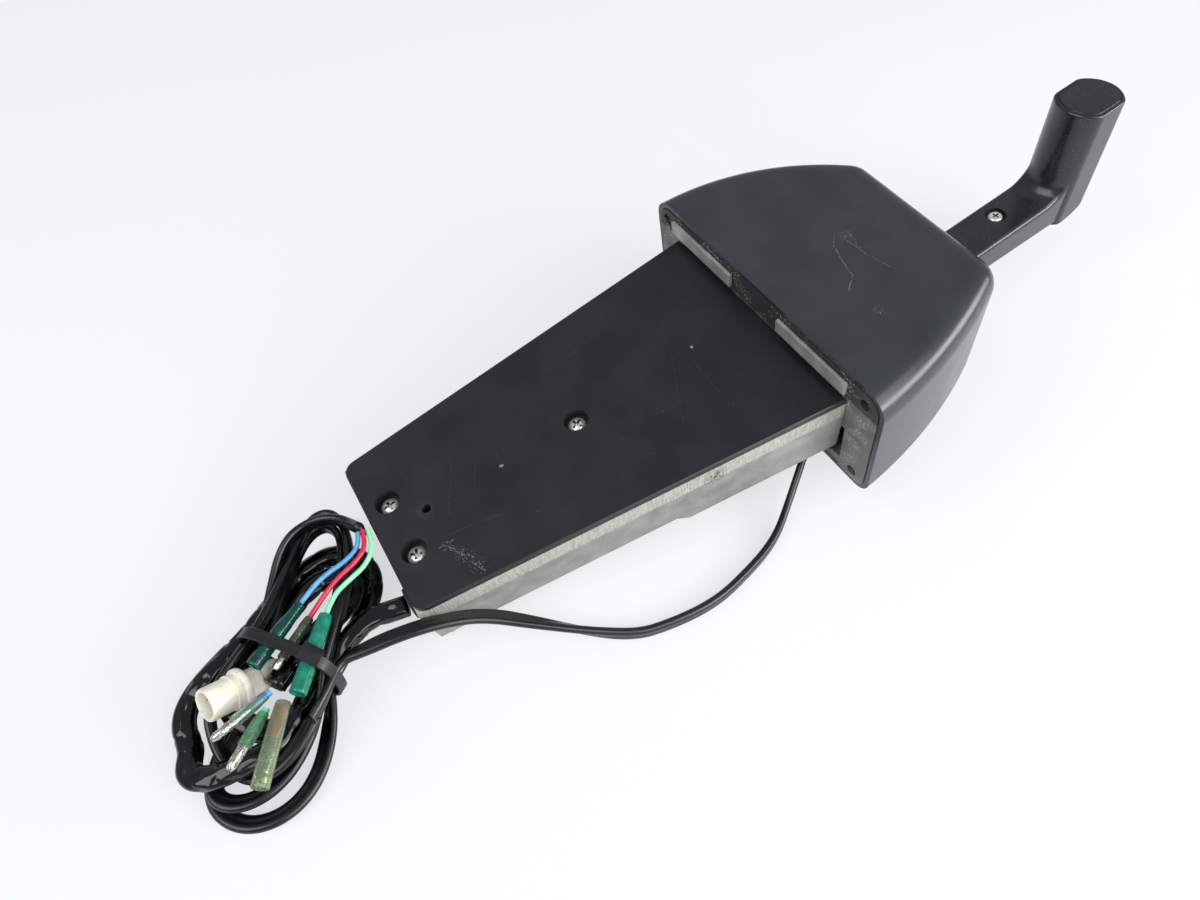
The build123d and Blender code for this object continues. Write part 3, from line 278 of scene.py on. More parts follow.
def bumped(shader, height, distance, strength, before=None):
    # height given to the shader's normal, with its distance in mm
    inputs = {"Height": height, "Distance": distance * mm, "Strength": strength}
    if before is not None:
        inputs["Normal"] = before
    normal = made("ShaderNodeBump", inputs)
    feed(shader, {"Normal": normal})
    return normal


def commonFinish(values):
    # two tones in soft patches, a gloss that varies with them, and a fine grain
    values = {**commonDefaults, **values}
    material, shader, place = newFinish(values["name"])
    share = patches(place, values["patch"], *values["levels"])
    rough = values["rough"]
    dress(shader, blended(share, values["tone"], values["second"]),
          graded(share, *rough) if isinstance(rough, tuple) else rough, values["ior"], values["metal"])
    shader.inputs["Transmission Weight"].default_value = values["clear"]
    bumped(shader, patches(place, values["grain"], *values["grainLevels"]), values["depth"], values["bump"])
    return material


commonDefaults = {"levels": (0.35, 0.68), "metal": 0.0, "ior": 1.5, "clear": 0.0, "grainLevels": (0.3, 0.7, 2.0),
                  "bump": 0.5}
# thin-wall coloured wire insulation: even, slightly glossy, a touch paler in streaks
wireDefaults = {"patch": 4.0, "levels": (0.35, 0.7), "rough": 0.32, "ior": 1.53, "grain": 0.6,
                "grainLevels": (0.3, 0.7), "depth": 0.02, "bump": 0.4}
commonValues = {
    # moulded ABS of the trim switch and buttons: dull black with a fine spark-eroded texture
    "switch_black": {"name": "texturedBlackABS", "tone": "#1A1B1D", "second": "#232527", "patch": 6.0,
                     "rough": (0.42, 0.55), "ior": 1.53, "grain": 0.45, "depth": 0.05},
    # turned and hobbed steel with a film of grease: grey, smeared gloss
    "gear_steel": {"name": "greasedHobbedSteel", "tone": "#8F908D", "second": "#A9A8A2", "patch": 4.0,
                   "rough": (0.24, 0.42), "metal": 1.0, "grain": 0.5, "depth": 0.02},
    # yellow-zinc plated pins and clips: faint gold cast, duller in patches
    "pin_steel": {"name": "zincPlatedSteel", "tone": "#B8B19A", "second": "#9C9A92", "patch": 3.0,
                  "rough": (0.25, 0.4), "metal": 1.0, "grain": 0.4, "depth": 0.015},
    # sintered bronze bushes: matte brown-gold with open pores
    "bronze": {"name": "sinteredBronze", "tone": "#9A7A4A", "second": "#83663C", "patch": 1.2,
               "rough": (0.38, 0.5), "metal": 1.0, "grain": 0.3, "depth": 0.03},
    # moulded nitrile rubber: soft grey-black bloom, no clear highlight
    "seal_rubber": {"name": "mouldedNitrileRubber", "tone": "#141516", "second": "#26282A", "patch": 5.0,
                    "rough": (0.6, 0.8), "ior": 1.52, "grain": 0.6, "depth": 0.04},
    # natural acetal friction pad: waxy off-white
    "pad_plastic": {"name": "naturalAcetal", "tone": "#D9D5C6", "second": "#C9C3B0", "patch": 3.0,
                    "rough": (0.35, 0.45), "ior": 1.48, "grain": 0.5, "depth": 0.02},
    # moulded nylon cable tie: dull black, a paler rubbed tone in patches
    "tie_black": {"name": "mouldedTieNylon", "tone": "#0D0E0F", "second": "#151617", "patch": 2.5,
                  "rough": (0.34, 0.48), "ior": 1.53, "grain": 0.35, "depth": 0.03},
    "wire_blue": {**wireDefaults, "name": "blueWireVinyl", "tone": "#4E8FC6", "second": "#62A4D6"},
    "wire_red": {**wireDefaults, "name": "redWireVinyl", "tone": "#C4163A", "second": "#D62E4E"},
    "wire_green": {**wireDefaults, "name": "greenWireVinyl", "tone": "#7FD8A0", "second": "#97E6B4"},
}


def dieCastAluminium(values):
    # bare pressure die casting: pale ground band across the top of the walls, smoother skin below
    # with brown corrosion specks, and a flange whose darker tone is partly its casting skin and partly painted shade,
    # with bright knocks on its edges
    material, shader, place = newFinish("bareDieCastAluminium")
    place = controlPlace(place)
    axes = made("ShaderNodeSeparateXYZ", {0: place}).node.outputs
    found = patterns(place, values)
    cloudy, ground = found["cloudy"], found["ground"]
    height = worked("SUBTRACT", axes[2], times(found["wander"], values["ragged"] * mm))
    band = ramp(height, *((fade - values["band"]) * mm for fade in values["bandFade"]))
    walls = blended(band, blended(cloudy, values["skin"], values["skinPale"]),
                    blended(ground, values["belt"], values["beltPale"]))
    rustSpot = times(found["rustGrain"], spotMask(place, values["rustSpot"], values["rustRadius"]))
    walls = blended(strongest(times(found["specks"], found["speckArea"]), rustSpot), walls, values["rust"])
    walls = blended(times(found["pores"], found["poreArea"]), walls, values["pore"])

    def past(kind, axis, limit):
        return worked(kind, axes[axis], values[limit] * mm)

    # the two bars above the cover plate crumble along their edges; the strip behind them is painted dark as shade
    upper = times(past("GREATER_THAN", 0, "upperFront"), past("GREATER_THAN", 2, "upperLow"))
    front = strongest(past("GREATER_THAN", 0, "flangeFront"), upper)
    bars = times(past("LESS_THAN", 0, "barFront"), upper)
    # the flange's darker tones are partly the casting skin and partly painted shade
    flange = blended(cloudy, values["flange"], values["flangePale"])
    flange = blended(past("GREATER_THAN", 2, "stripLow"), flange, values["strip"])
    edge = ramp(axes[0], *(limit * mm for limit in values["barEdge"]))
    bar = blended(times(found["crumbs"], edge), blended(cloudy, values["bar"], values["barPale"]), values["bright"])
    flange = blended(bars, flange, bar)
    flange = blended(times(found["knocks"], found["knockArea"]), flange, values["bright"])
    dress(shader, blended(front, walls, flange), graded(strongest(band, cloudy), *values["rough"]), metal=0.6)
    first = bumped(shader, found["pits"], 0.2, 0.5)
    bumped(shader, times(ground, band), 0.1, 0.6, first)
    return material


castValues = {
    "band": 12.0, "bandFade": (-0.5, 0.4), "ragged": 1.4,    # mm below the cover plate's face, and how it frays
    "skin": "#8C8D8A", "skinPale": "#A5A5A1", "belt": "#A7A59D", "beltPale": "#C6C4BB",
    "pore": "#72716C", "rust": "#4A3A2A", "rustSpot": (-62.0, -56.0, -9.0), "rustRadius": 7.0,
    # the flange tones are darker partly as painted shade
    "flange": "#6C6D6B", "flangePale": "#868683", "bright": "#D2D1CC",
    # the strip tone is painted shade behind the bars
    "strip": "#454644", "bar": "#A0A19E", "barPale": "#BDBDB9", "rough": (0.46, 0.6),
    # where the flange, the part above the plate, the strip and the bars begin, in mm of the control's X and Z
    "flangeFront": -0.6, "upperFront": -9.0, "upperLow": -2.5, "stripLow": 0.3, "barFront": -0.7,
    "barEdge": (-2.2, -4.4),
    "patterns": {
        "wander": (5.0, 0.0, 1.0, 2.0), "cloudy": (9.0, 0.35, 0.7, 4.0),
        "ground": (0.55, 0.35, 0.66, 3.0, (1.0, 1.0, 0.12)),    # grinding lines run down the wall
        "specks": (0.9, 0.70, 0.76), "speckArea": (14.0, 0.52, 0.66, 1.0), "rustGrain": (0.8, 0.50, 0.56),
        "pores": (0.7, 0.62, 0.70, 4.0), "poreArea": (11.0, 0.40, 0.62, 2.0),
        "knocks": (1.0, 0.54, 0.66, 6.0), "knockArea": (9.0, 0.48, 0.62, 1.0),
        "crumbs": (1.2, 0.44, 0.56, 6.0), "pits": (0.5, 0.35, 0.75, 5.0),
    },
}


def satinCoverPaint(values):
    # baked satin black enamel on the domed cover: faint orange peel, a few pale scratches that cut through it
    material, shader, place = newFinish("satinBlackEnamel")
    place = controlPlace(place)
    flat = wavering(place, *values["waver"])
    found = patterns(place, values)
    marks = times(strongest(*(scratchMask(flat, *row) for row in values["scratches"])), found["broken"])
    marks = strongest(marks, *(times(found["fine"], spotMask(flat, *row)) for row in values["scuffs"]))
    height = made("ShaderNodeSeparateXYZ", {0: place}, 2)
    marks = times(marks, ramp(height, *(limit * mm for limit in values["markHeight"])))
    tone = blended(found["faded"], values["tone"], values["toneFaded"])
    marks = times(marks, values["markShare"])
    dress(shader, blended(marks, tone, values["bare"]), graded(found["faded"], *values["gloss"]))
    bumped(shader, found["peel"], 0.02, 0.35)
    return material


coverValues = {
    "tone": "#2A2E31", "toneFaded": "#313538", "bare": "#A4A7A6", "markShare": 0.42,
    "gloss": (0.23, 0.29), "markHeight": (8, 12),            # marks fade in between these heights, in mm
    "waver": (260.0, 3.0, 2.2, -1.1),        # scale and detail of the noise, sway and offset in mm
    "patterns": {"broken": (0.7, 0.38, 0.5, 2.0), "fine": (0.35, 0.60, 0.66, 2.0, (1.0, 0.4, 1.0)),
                 "faded": (22.0, 0.3, 0.7), "peel": (0.9, 0.25, 0.75, 2.0)},
    "scratches": [((46.6, 4.8), (40.4, -1.9), 0.14), ((40.9, -3.0), (38.4, -8.9), 0.2),
                  ((38.4, -8.9), (35.8, -19.6), 0.16), ((35.8, -19.6), (29.0, -25.0), 0.2),
                  ((47.7, -1.4), (48.6, -13.0), 0.14), ((48.6, -13.0), (51.1, -25.8), 0.16),
                  ((52.0, 2.0), (49.0, -9.0), 0.12)],
    "scuffs": [((31.2, -41.2), 3.5), ((49.0, 0.0), 4.5)],
}


def mattePlatePaint(values):
    # matte black paint on the flat cover plate: fine crossing scratches, white rubbed marks, a worn ring round a hole
    material, shader, place = newFinish("matteBlackPlatePaint")
    place = controlPlace(place)
    flat = wavering(place, *values["waver"])
    found = patterns(place, values)
    marks = times(strongest(*(scratchMask(flat, *row) for row in values["scratches"])), found["broken"])
    marks = times(marks, values["scratchShare"])
    marks = strongest(marks, *(times(scratchMask(flat, *row), found["crumbs"]) for row in values["strokes"]))
    marks = times(marks, values["strokeShare"])
    for centre, radius, low in values["scuffs"]:
        fine = patches(place, 0.7, low, low + 0.05, 6.0)
        marks = strongest(marks, times(fine, spotMask(flat, centre, radius)))
    marks = strongest(marks, found["specks"])
    ring = times(spotMask(flat, values["wornHole"], values["wornRadius"]), found["worn"])
    tone = blended(found["cloudy"], values["tone"], values["toneDusty"])
    tone = blended(times(ring, values["wornShare"]), tone, values["rubbed"])
    dress(shader, blended(marks, tone, values["bare"]), graded(found["cloudy"], *values["gloss"]), 1.48)
    bumped(shader, found["grain"], 0.035, 0.4)
    return material


plateValues = {
    "tone": "#14171A", "toneDusty": "#1C1F22", "rubbed": "#4B5053", "bare": "#8B8F90",
    "gloss": (0.36, 0.50), "scratchShare": 0.11, "strokeShare": 0.8, "wornShare": 0.3,
    "waver": (120.0, 2.0, 1.6),
    "patterns": {"broken": (2.5, 0.35, 0.65), "crumbs": (1.0, 0.47, 0.6, 4.0), "worn": (1.5, 0.35, 0.7),
                 "cloudy": (26.0, 0.32, 0.7, 5.0), "specks": (0.55, 0.785, 0.82, 1.0), "grain": (0.5, 0.3, 0.7)},
    "scratches": [((-165.0, -16.5), (-138.5, -21.7), 0.3), ((-148.4, 15.3), (-161.3, -9.7), 0.22),
                  ((-140.2, 9.2), (-152.0, -16.0), 0.2), ((-36.6, -0.2), (-38.4, -25.6), 0.25),
                  ((-42.0, 6.0), (-60.0, -30.0), 0.2), ((-95.0, 30.0), (-60.0, 36.0), 0.2)],
    "scuffs": [((-167.0, -21.5), 4.0, 0.60), ((-163.5, -28.5), 5.0, 0.60), ((-160.5, -36.0), 4.5, 0.60),
               ((-132.3, -1.0), 1.1, 0.4), ((-33.3, 2.3), 0.9, 0.35), ((-206.0, 0.0), 5.0, 0.62)],
    "strokes": [((-169.5, -18.5), (-165.5, -24.0), 0.5), ((-165.8, -24.8), (-163.2, -30.0), 0.45),
                ((-164.0, -26.0), (-160.8, -31.5), 0.3), ((-162.0, -33.0), (-159.4, -39.5), 0.4),
                ((-171.0, -20.0), (-163.0, -19.5), 0.25)],
    "wornHole": (-169.1, -0.6), "wornRadius": 6.0,
}


def glassFilledNylon(values):
    # glass-filled nylon of the lever: satin black with a fine mottled skin, paler where hands have rubbed it
    material, shader, place = newFinish("glassFilledBlackNylon")
    found = patterns(place, values)
    tone = blended(found["mottled"], values["tone"], values["toneMottled"])
    tone = blended(times(found["rubbed"], found["mottled"]), tone, values["rubbed"])
    dress(shader, blended(found["specks"], tone, values["nick"]), graded(found["rubbed"], *values["gloss"]), 1.53)
    bumped(shader, found["grain"], 0.012, 0.25)
    return material


leverValues = {
    "tone": "#1D2022", "toneMottled": "#232628", "rubbed": "#2B2F31", "nick": "#7A7C7C", "gloss": (0.20, 0.27),
    "patterns": {"mottled": (1.4, 0.35, 0.65, 4.0), "rubbed": (24.0, 0.4, 0.7), "specks": (1.0, 0.765, 0.80, 1.0),
                 "grain": (0.6, 0.3, 0.7, 2.0)},
}


def stainlessHeads(values):
    # cold-headed stainless steel: bright, lightly brushed by the driver, brown tea stains in patches, and painted shade
    # darkening the recess where ambient occlusion finds a hollow
    material, shader, place = newFinish("coldHeadedStainless")
    found = patterns(place, values)
    # painted shade: the recess colour is laid into the hollows that ambient occlusion finds
    ambient = addNode(place.id_data, "ShaderNodeAmbientOcclusion", {"Distance": values["reach"] * mm}, samples=8)
    metal = blended(found["stain"], values["tone"], values["stain"])
    openness = ramp(ambient.outputs["AO"], *values["openness"])
    dress(shader, blended(openness, values["recess"], metal), graded(found["stain"], 0.34, 0.5), metal=0.75)
    bumped(shader, found["brushing"], 0.03, 0.4)
    return material


steelValues = {
    # recess, reach and openness set the painted shade in the hollows
    "tone": "#F2EFE9", "stain": "#A39A90", "recess": "#171513", "reach": 1.8, "openness": (0.25, 0.62),
    "patterns": {"stain": (1.4, 0.52, 0.68, 4.0), "brushing": (0.9, 0.3, 0.7)},
}


def blackVinyl(name, values):
    # extruded black vinyl: long soft highlights, a greyish bloom in streaks along the cord, fine dust
    material, shader, place = newFinish(name)
    streaks = patches(place.node.outputs["UV"], values["streak"], 0.45, 0.75, 3.0, (0.02, 1.0, 1.0))
    clouds = patches(place, 14.0, 0.4, 0.7, 4.0)
    tone = blended(times(streaks, clouds), values["tone"], values["bloom"])
    dress(shader, tone, graded(clouds, *values["gloss"]), 1.53)
    bumped(shader, patches(place, 4.0, 0.3, 0.7, 2.0), values["ripple"], 0.5)
    return material


leadValues = {"tone": "#08090B", "bloom": "#1B1E21", "streak": 5.0, "gloss": (0.24, 0.34), "ripple": 0.04}
sheathValues = {"tone": "#050607", "bloom": "#121416", "streak": 9.0, "gloss": (0.06, 0.16), "ripple": 0.04}


# tinted clear vinyl of the bullet sleeves: see-through and slightly cloudy, so the metal shows dimly inside
sleeveDefaults = {"patch": 3.0, "rough": (0.08, 0.22), "ior": 1.45, "grain": 1.8, "depth": 0.12}
sleeveTints = {
    "darkTeal": {"tone": "#0C6A62", "second": "#0A4B48", "patch": 4.0, "clear": 0.6},
    "smokyClear": {"tone": "#A9B3A4", "second": "#78826F", "clear": 0.85},
    "seaGreen": {"tone": "#2FB394", "second": "#1C8A72", "patch": 4.0, "clear": 0.5},
    "cloudyClear": {"tone": "#CFE3D6", "second": "#A9CDB9", "clear": 0.88},
    "paleGreen": {"tone": "#A9D9B4", "second": "#7DBE97", "clear": 0.82},
    "oliveClear": {"tone": "#D8E0C4", "second": "#B4C8A4", "patch": 5.0, "clear": 0.85},
}


def tinnedBrass():
    # tin-plated brass crimps: bright, crumpled into small facets, grey in the creases
    material, shader, place = newFinish("tinPlatedBrass")
    dull = patches(place, 1.0, 0.45, 0.7, 4.0)
    dress(shader, blended(dull, "#DAD9D3", "#8D8B84"), graded(dull, 0.18, 0.4), metal=1.0)
    dents = made("ShaderNodeTexVoronoi", {"Vector": place, "Scale": 1 / (1.3 * mm)}, "Distance", feature="SMOOTH_F1")
    bumped(shader, dents, 0.35, 0.8)
    return material


def agedNylon():
    # natural nylon of the round plug, yellowed by age: light passes through its edges, grime in the steps
    material, shader, place = newFinish("agedNaturalNylon")
    tone = blended(patches(place, 9.0, 0.35, 0.68), "#EAE9DC", "#DDD9C4")
    dress(shader, blended(patches(place, 2.0, 0.6, 0.78, 5.0), tone, "#A69E80"), 0.36, 1.53)
    feed(shader, {"Subsurface Weight": 0.25, "Subsurface Radius": (0.004, 0.003, 0.002), "Subsurface Scale": 0.5})
    bumped(shader, patches(place, 0.7, 0.3, 0.7), 0.03, 0.4)
    return material


finishes = {slot: commonFinish(values) for slot, values in commonValues.items()}
sleeveFinishes = {name: commonFinish({**sleeveDefaults, "name": name + "Vinyl", **values})
                  for name, values in sleeveTints.items()}
finishes.update({
    "cast_aluminium": dieCastAluminium(castValues), "cover_black": satinCoverPaint(coverValues),
    "plate_black": mattePlatePaint(plateValues), "lever_black": glassFilledNylon(leverValues),
    "stainless": stainlessHeads(steelValues), "cord_black": blackVinyl("extrudedBlackVinyl", leadValues),
    "tinned": tinnedBrass(), "nylon_cream": agedNylon(),
    "sleeve_green": sleeveFinishes["seaGreen"], "sleeve_clear": sleeveFinishes["cloudyClear"],
})
sheathFinish = blackVinyl("glossyVinylSheath", sheathValues)

for row in frame["record"]["subparts"]:
    for place in nodes[row["node"]].material_slots:
        place.material = finishes[row["material_slot"]]
print("finishes made:", len(bpy.data.materials))


# Cords. Each route holds the control points of its spline, in mm.

trimRoute = (
    (-21.6, -49.4, 27), (-29.5, -50.2, 24.6), (-36.5, -55.5, 16.5), (-45.5, -62, 8.3), (-57.5, -70.5, 3.6),
    (-69.3, -75.8, 3.2), (-82, -79.6, 3.2), (-96.7, -83.2, 3.2), (-110.2, -83.9, 3.2), (-124.7, -82.4, 3.2),
    (-137.9, -79.7, 3.4), (-152.6, -71.5, 6), (-172.5, -58.5, 13), (-190.5, -47.2, 20), (-207, -43.8, 26),
    (-223, -40.8, 26.5), (-236, -38.8, 24.5), (-247, -37, 22), (-253.8, -44.5, 21.7), (-260.9, -50.6, 20),
    (-268.3, -55.6, 17.6), (-275.8, -58.9, 15.4), (-282.9, -59.9, 13.1), (-288.9, -58, 10.8),
    (-293.5, -53.2, 9.7), (-296.4, -46.5, 11.8), (-297.5, -39.2, 14.6), (-296.6, -32.2, 17),
    (-293.4, -26.1, 18.8), (-288.1, -20.7, 20), (-281.4, -16, 20.5), (-274.2, -11.1, 20.7),
    (-267.3, -4.9, 20.6), (-260.5, 2.6, 20.1), (-253.8, 10.7, 19.6), (-247.4, 18.9, 18.9),
    (-241.3, 26.5, 19), (-235, 31.2, 19.7), (-229.2, 31.5, 20), (-225.4, 27.3, 20.4), (-224.3, 19.4, 21),
    (-225.9, 9.8, 21.7), (-229.3, -0.1, 22.3), (-233.9, -9.7, 23), (-239.2, -18.6, 23.5),
    (-245.4, -26.6, 23.2), (-251.3, -34.8, 22.2), (-256.8, -42.5, 18.2), (-263.1, -49.8, 14.2),
    (-270.6, -56.2, 11), (-278.6, -61.3, 8.8), (-286.9, -64, 8.3), (-294.6, -63.8, 8.1), (-300.5, -61, 8.2),
    (-303.7, -56.5, 8.3), (-303.5, -51.7, 8.1), (-300.7, -47, 7.6), (-295.9, -41.7, 6.9),
    (-289.8, -35.1, 6.3), (-283.5, -27.9, 8.1), (-277, -20.7, 11.3), (-270.4, -13, 13.5),
    (-264.1, -4.4, 14.2), (-258.3, 4.7, 14.2), (-252.7, 13.6, 13.8), (-247, 21.7, 13.4), (-241, 27.9, 13.4),
    (-235, 30.5, 13.8), (-230.1, 28.9, 14.4), (-227.6, 23, 15.2), (-228.5, 14.4, 16), (-232.2, 5.1, 16.3),
    (-237.3, -3.7, 14.8), (-242.7, -12.3, 12.4), (-246.9, -21.6, 11.7), (-250.8, -30.7, 10.1),
    (-254.7, -39.8, 8.2), (-258.6, -48.4, 6.6), (-262.9, -56.4, 5.4), (-267.9, -63.4, 4.5),
    (-273.9, -68.8, 4), (-281, -72, 3.7), (-288.6, -72.7, 3.6), (-296, -70.6, 3.5), (-301.9, -65.7, 3.3),
    (-305.4, -58.7, 3.1), (-305.5, -51.1, 3), (-302.3, -43.6, 3.3), (-296.9, -36.3, 3.9),
    (-290.2, -28.9, 4.8), (-282.9, -21.8, 6.7), (-276.5, -14.3, 10.1), (-270.5, -6.2, 13),
    (-264.8, 2.2, 15.4), (-259.1, 10.8, 17.7), (-253.2, 18.7, 20.9), (-246.2, 24, 24.2),
    (-238.4, 25.8, 25.3), (-231, 24.3, 26.5), (-225, 19.9, 27.9), (-221, 13.2, 29.1), (-218.8, 5.5, 34.5),
)

harnessRoute = (
    (-215.4, -27.3, 19.7), (-222, -25.8, 18.8), (-230.5, -24.2, 18.8), (-239, -27, 18.8),
    (-247, -31.2, 16.4), (-255.9, -35.4, 15), (-262.9, -40.6, 14.4), (-268.4, -46.2, 14.9),
    (-274.2, -50.4, 15.1), (-280.8, -52.8, 15.3), (-288, -53.8, 16.2), (-295.3, -53.6, 16.5),
    (-302.1, -51.9, 15), (-307, -48.5, 13.4), (-309, -44.2, 11.8), (-308.3, -40.2, 10.7),
    (-306.9, -36.4, 10), (-306.9, -31.7, 10), (-306.7, -26.1, 10.4), (-304.3, -20.6, 11.3),
    (-299.3, -16, 12.2), (-292.5, -12.4, 13.3), (-285.1, -8.8, 13.6), (-277.6, -4.3, 12.5),
    (-270.3, 2.1, 10.3), (-262.1, 8.7, 8.1), (-253.8, 15.2, 6.4), (-245.2, 19.9, 5.4), (-236.7, 21.3, 5),
    (-229.2, 18.9, 4.9), (-224.1, 13.1, 5), (-222.3, 5.3, 5.2), (-223.9, -2.8, 5.6), (-228.2, -10, 6.2),
    (-234.1, -16, 6.6), (-240.9, -21.2, 6.3), (-247.9, -26.1, 4.3), (-254.8, -31.6, 3.8),
    (-260.7, -38, 5.6), (-266.5, -43.2, 7.1), (-272.8, -45.8, 8.2), (-278.9, -44.8, 9.8),
    (-284.6, -40.4, 11.6), (-288.7, -33.7, 13.5), (-289.9, -25.6, 12), (-287.6, -17.8, 9.5),
    (-282, -11.4, 6.8), (-273.7, -6.9, 5.7), (-264.3, -2.6, 6.9), (-255.8, 2.6, 8.5), (-247.7, 6.6, 9.7),
    (-240.2, 7.8, 10.1), (-234.1, 6, 9.5), (-230.6, 1.3, 9.9), (-231.1, -4.9, 12.5), (-234.5, -11.1, 15.4),
    (-240.6, -15.7, 17.9), (-247.9, -19.3, 19.7), (-254.5, -23.1, 21.2), (-260.6, -26.9, 22.2),
    (-266, -30.8, 22.7), (-270.9, -34.5, 23),
)

wireRoutes = {
    "blueWire": ((-220.8, 5, 34.4), (-222.2, -0.8, 34.2), (-229, -4.2, 33.2), (-239, -5.3, 32),
                 (-246.3, -8.1, 30.8), (-253.7, -13.1, 30.3)),
    "redWire": ((-218.8, 5, 34.5), (-219.8, -2.6, 34.6), (-226.5, -7.2, 33.6), (-235.5, -9.4, 32.2),
                (-243.7, -13.6, 30.2), (-252.1, -19.9, 29.4)),
    "greenWire": ((-216.7, 5, 34.4), (-217.2, -3.4, 34.2), (-223, -10, 33.2), (-231.5, -12.6, 32.4),
                  (-239.6, -15.2, 31.2), (-246.1, -23.5, 30.7)),
}

leadShape = {
    "width": 6.6, "thickness": 3.4, "groove": 0.22,
    # how the flat lead turns about its line: point of the route and degrees, 0 standing on edge, 90 lying flat
    "turns": ((0, 0), (10, 0), (12.5, 80), (15, 80), (17.5, 20), (19, 0), (101, 0)),
    # past this point of the route the loops lie down by so many degrees between two values of Y
    "hankFrom": 19, "hankTurn": 78, "lieFlat": (-34.0, -58.0),
}

sheathShape = {
    "radius": 4.7, "flatness": 0.8, "wrinkle": 0.30, "fold": 0.30, "sides": 28,
    "crease": (11.0, 1.1, 0), "long": (30.0, 0.9, 7),        # mm along, share around and seed of the two noises
    "creaseWidth": 0.22, "creaseDepth": 0.6,
}


def plainMesh(holder):
    # the holder's evaluated mesh; the holder is removed
    bpy.context.view_layer.update()
    mesh = bpy.data.meshes.new_from_object(holder.evaluated_get(bpy.context.evaluated_depsgraph_get()))
    bpy.data.objects.remove(holder)
    return mesh


def makeSpline(name, route):
    curve = bpy.data.curves.new(name, "CURVE")
    curve.dimensions = "3D"
    curve.resolution_u = 8
    spline = curve.splines.new("NURBS")
    spline.points.add(len(route) - 1)
    for point, spot in zip(spline.points, route):
        point.co = (*(v * mm for v in spot), 1.0)
    spline.order_u = 3
    spline.use_endpoint_u = True
    return intoScene(bpy.data.objects.new(name, curve))


def linePoints(name, route):
    # points along the route's own spline
    holder = makeSpline(name + "Route", route)
    curve = holder.data
    line = plainMesh(holder)
    points = [v.co.copy() for v in line.vertices]
    bpy.data.meshes.remove(line)
    bpy.data.curves.remove(curve)
    return points


def arcLengths(points):
    run = [0.0]
    for a, b in zip(points, points[1:]):
        run.append(run[-1] + (b - a).length)
    return run


def eased(value, low, high):
    # smooth step from 0 at low to 1 at high
    share = min(max((value - low) / (high - low), 0), 1)
    return share * share * (3 - 2 * share)


def bridge(form, first, second):
    # faces between two closed rings of equal count
    count = len(first)
    return [form.faces.new((first[j], first[(j + 1) % count], second[(j + 1) % count], second[j]))
            for j in range(count)]


def meshPiece(name, form, sharp, flatCaps=False):
    # the form as an object, smooth but for edges sharper than so many degrees and, if asked, its caps
    bmesh.ops.recalc_face_normals(form, faces=form.faces)
    for face in form.faces:
        face.smooth = not flatCaps or len(face.verts) == 4
    mesh = bpy.data.meshes.new(name)
    form.to_mesh(mesh)
    form.free()
    if sharp:
        mesh.set_sharp_from_angle(angle=math.radians(sharp))
    return bpy.data.objects.new(name, mesh)


def sweepMesh(name, points, sectionAt):
    # closed tube along the points; sectionAt(k) gives the ring as (across, up) pairs in metres
    form = bmesh.new()
    uvLayer = form.loops.layers.uv.new("alongCord")
    rings, run, side = [], arcLengths(points), Vector((1, 0, 0))
    levelLeast = 0.25        # a steeper line keeps the side it had
    girth = 0.02             # metres of the map around the cord
    for k, spot in enumerate(points):
        way = (points[min(k + 1, len(points) - 1)] - points[max(k - 1, 0)]).normalized()
        level = way.cross(Vector((0, 0, 1)))
        if level.length > levelLeast:
            side = level.normalized()
        side = (side - way * side.dot(way)).normalized()
        up = side.cross(way)
        rings.append([form.verts.new(spot + side * a + up * b) for a, b in sectionAt(k)])
    count = len(rings[0])
    for k in range(len(rings) - 1):
        for j, face in enumerate(bridge(form, rings[k], rings[k + 1])):
            around = (j / count, (j + 1) / count, (j + 1) / count, j / count)
            along = (run[k], run[k], run[k + 1], run[k + 1])
            for loop, u, v in zip(face.loops, around, along):
                loop[uvLayer].uv = (u * girth, v)
    form.faces.new(reversed(rings[0]))
    form.faces.new(rings[-1])
    return meshPiece(name, form, None)


def twinSection(values):
    # two round cores side by side, with a shallow groove between them
    radius = values["thickness"] / 2
    centre = values["width"] / 2 - radius
    flank, lip, steps = 0.98, 0.4, 8
    ring = []
    for way, first in ((1, 0), (-1, math.pi)):
        ring += [(radius * math.cos(a), way * centre + radius * math.sin(a))
                 for a in [first + math.pi * i / steps for i in range(steps + 1)]]
        ring += [(-way * radius * flank, way * centre * lip), (way * (values["groove"] - radius), 0),
                 (-way * radius * flank, -way * centre * lip)]
    return ring


def makeTwinLead(name, route, values):
    points = linePoints(name, route)
    ring = twinSection(values)

    def sectionAt(k):
        at = k * (len(route) - 1) / (len(points) - 1)
        for (a, first), (b, second) in zip(values["turns"], values["turns"][1:]):
            if at <= b:
                angle = math.radians(first + (second - first) * eased(at, a, b))
                break
        if at > values["hankFrom"]:
            angle = math.radians(values["hankTurn"]) * eased(points[k].y / mm, *values["lieFlat"])
        cosine, sine = math.cos(angle), math.sin(angle)
        return [((a * cosine - b * sine) * mm, (a * sine + b * cosine) * mm) for a, b in ring]

    return sweepMesh(name, points, sectionAt), points


def makeSheath(name, route, values):
    # loose vinyl sleeve over a bundle: flattened, wrinkled across, with long folds
    points = linePoints(name, route)
    run = arcLengths(points)

    def ripple(along, across, up, length, girth, seed):
        return noise.noise(Vector((along / length, across * girth + seed, up * girth)))

    def sectionAt(k):
        ring = []
        for j in range(values["sides"]):
            angle = 2 * math.pi * j / values["sides"]
            across, up = math.cos(angle), math.sin(angle)
            crease = ripple(run[k] / mm, across, up, *values["crease"])
            fold = ripple(run[k] / mm, across, up, *values["long"])
            dip = max(values["creaseWidth"] - abs(crease), 0) / values["creaseWidth"]
            size = values["radius"] * (1 - values["wrinkle"] * dip * dip * values["creaseDepth"]
                                       - values["fold"] * max(fold, 0))
            ring.append((size * across * mm, size * up * values["flatness"] * mm))
        return ring

    return sweepMesh(name, points, sectionAt), points


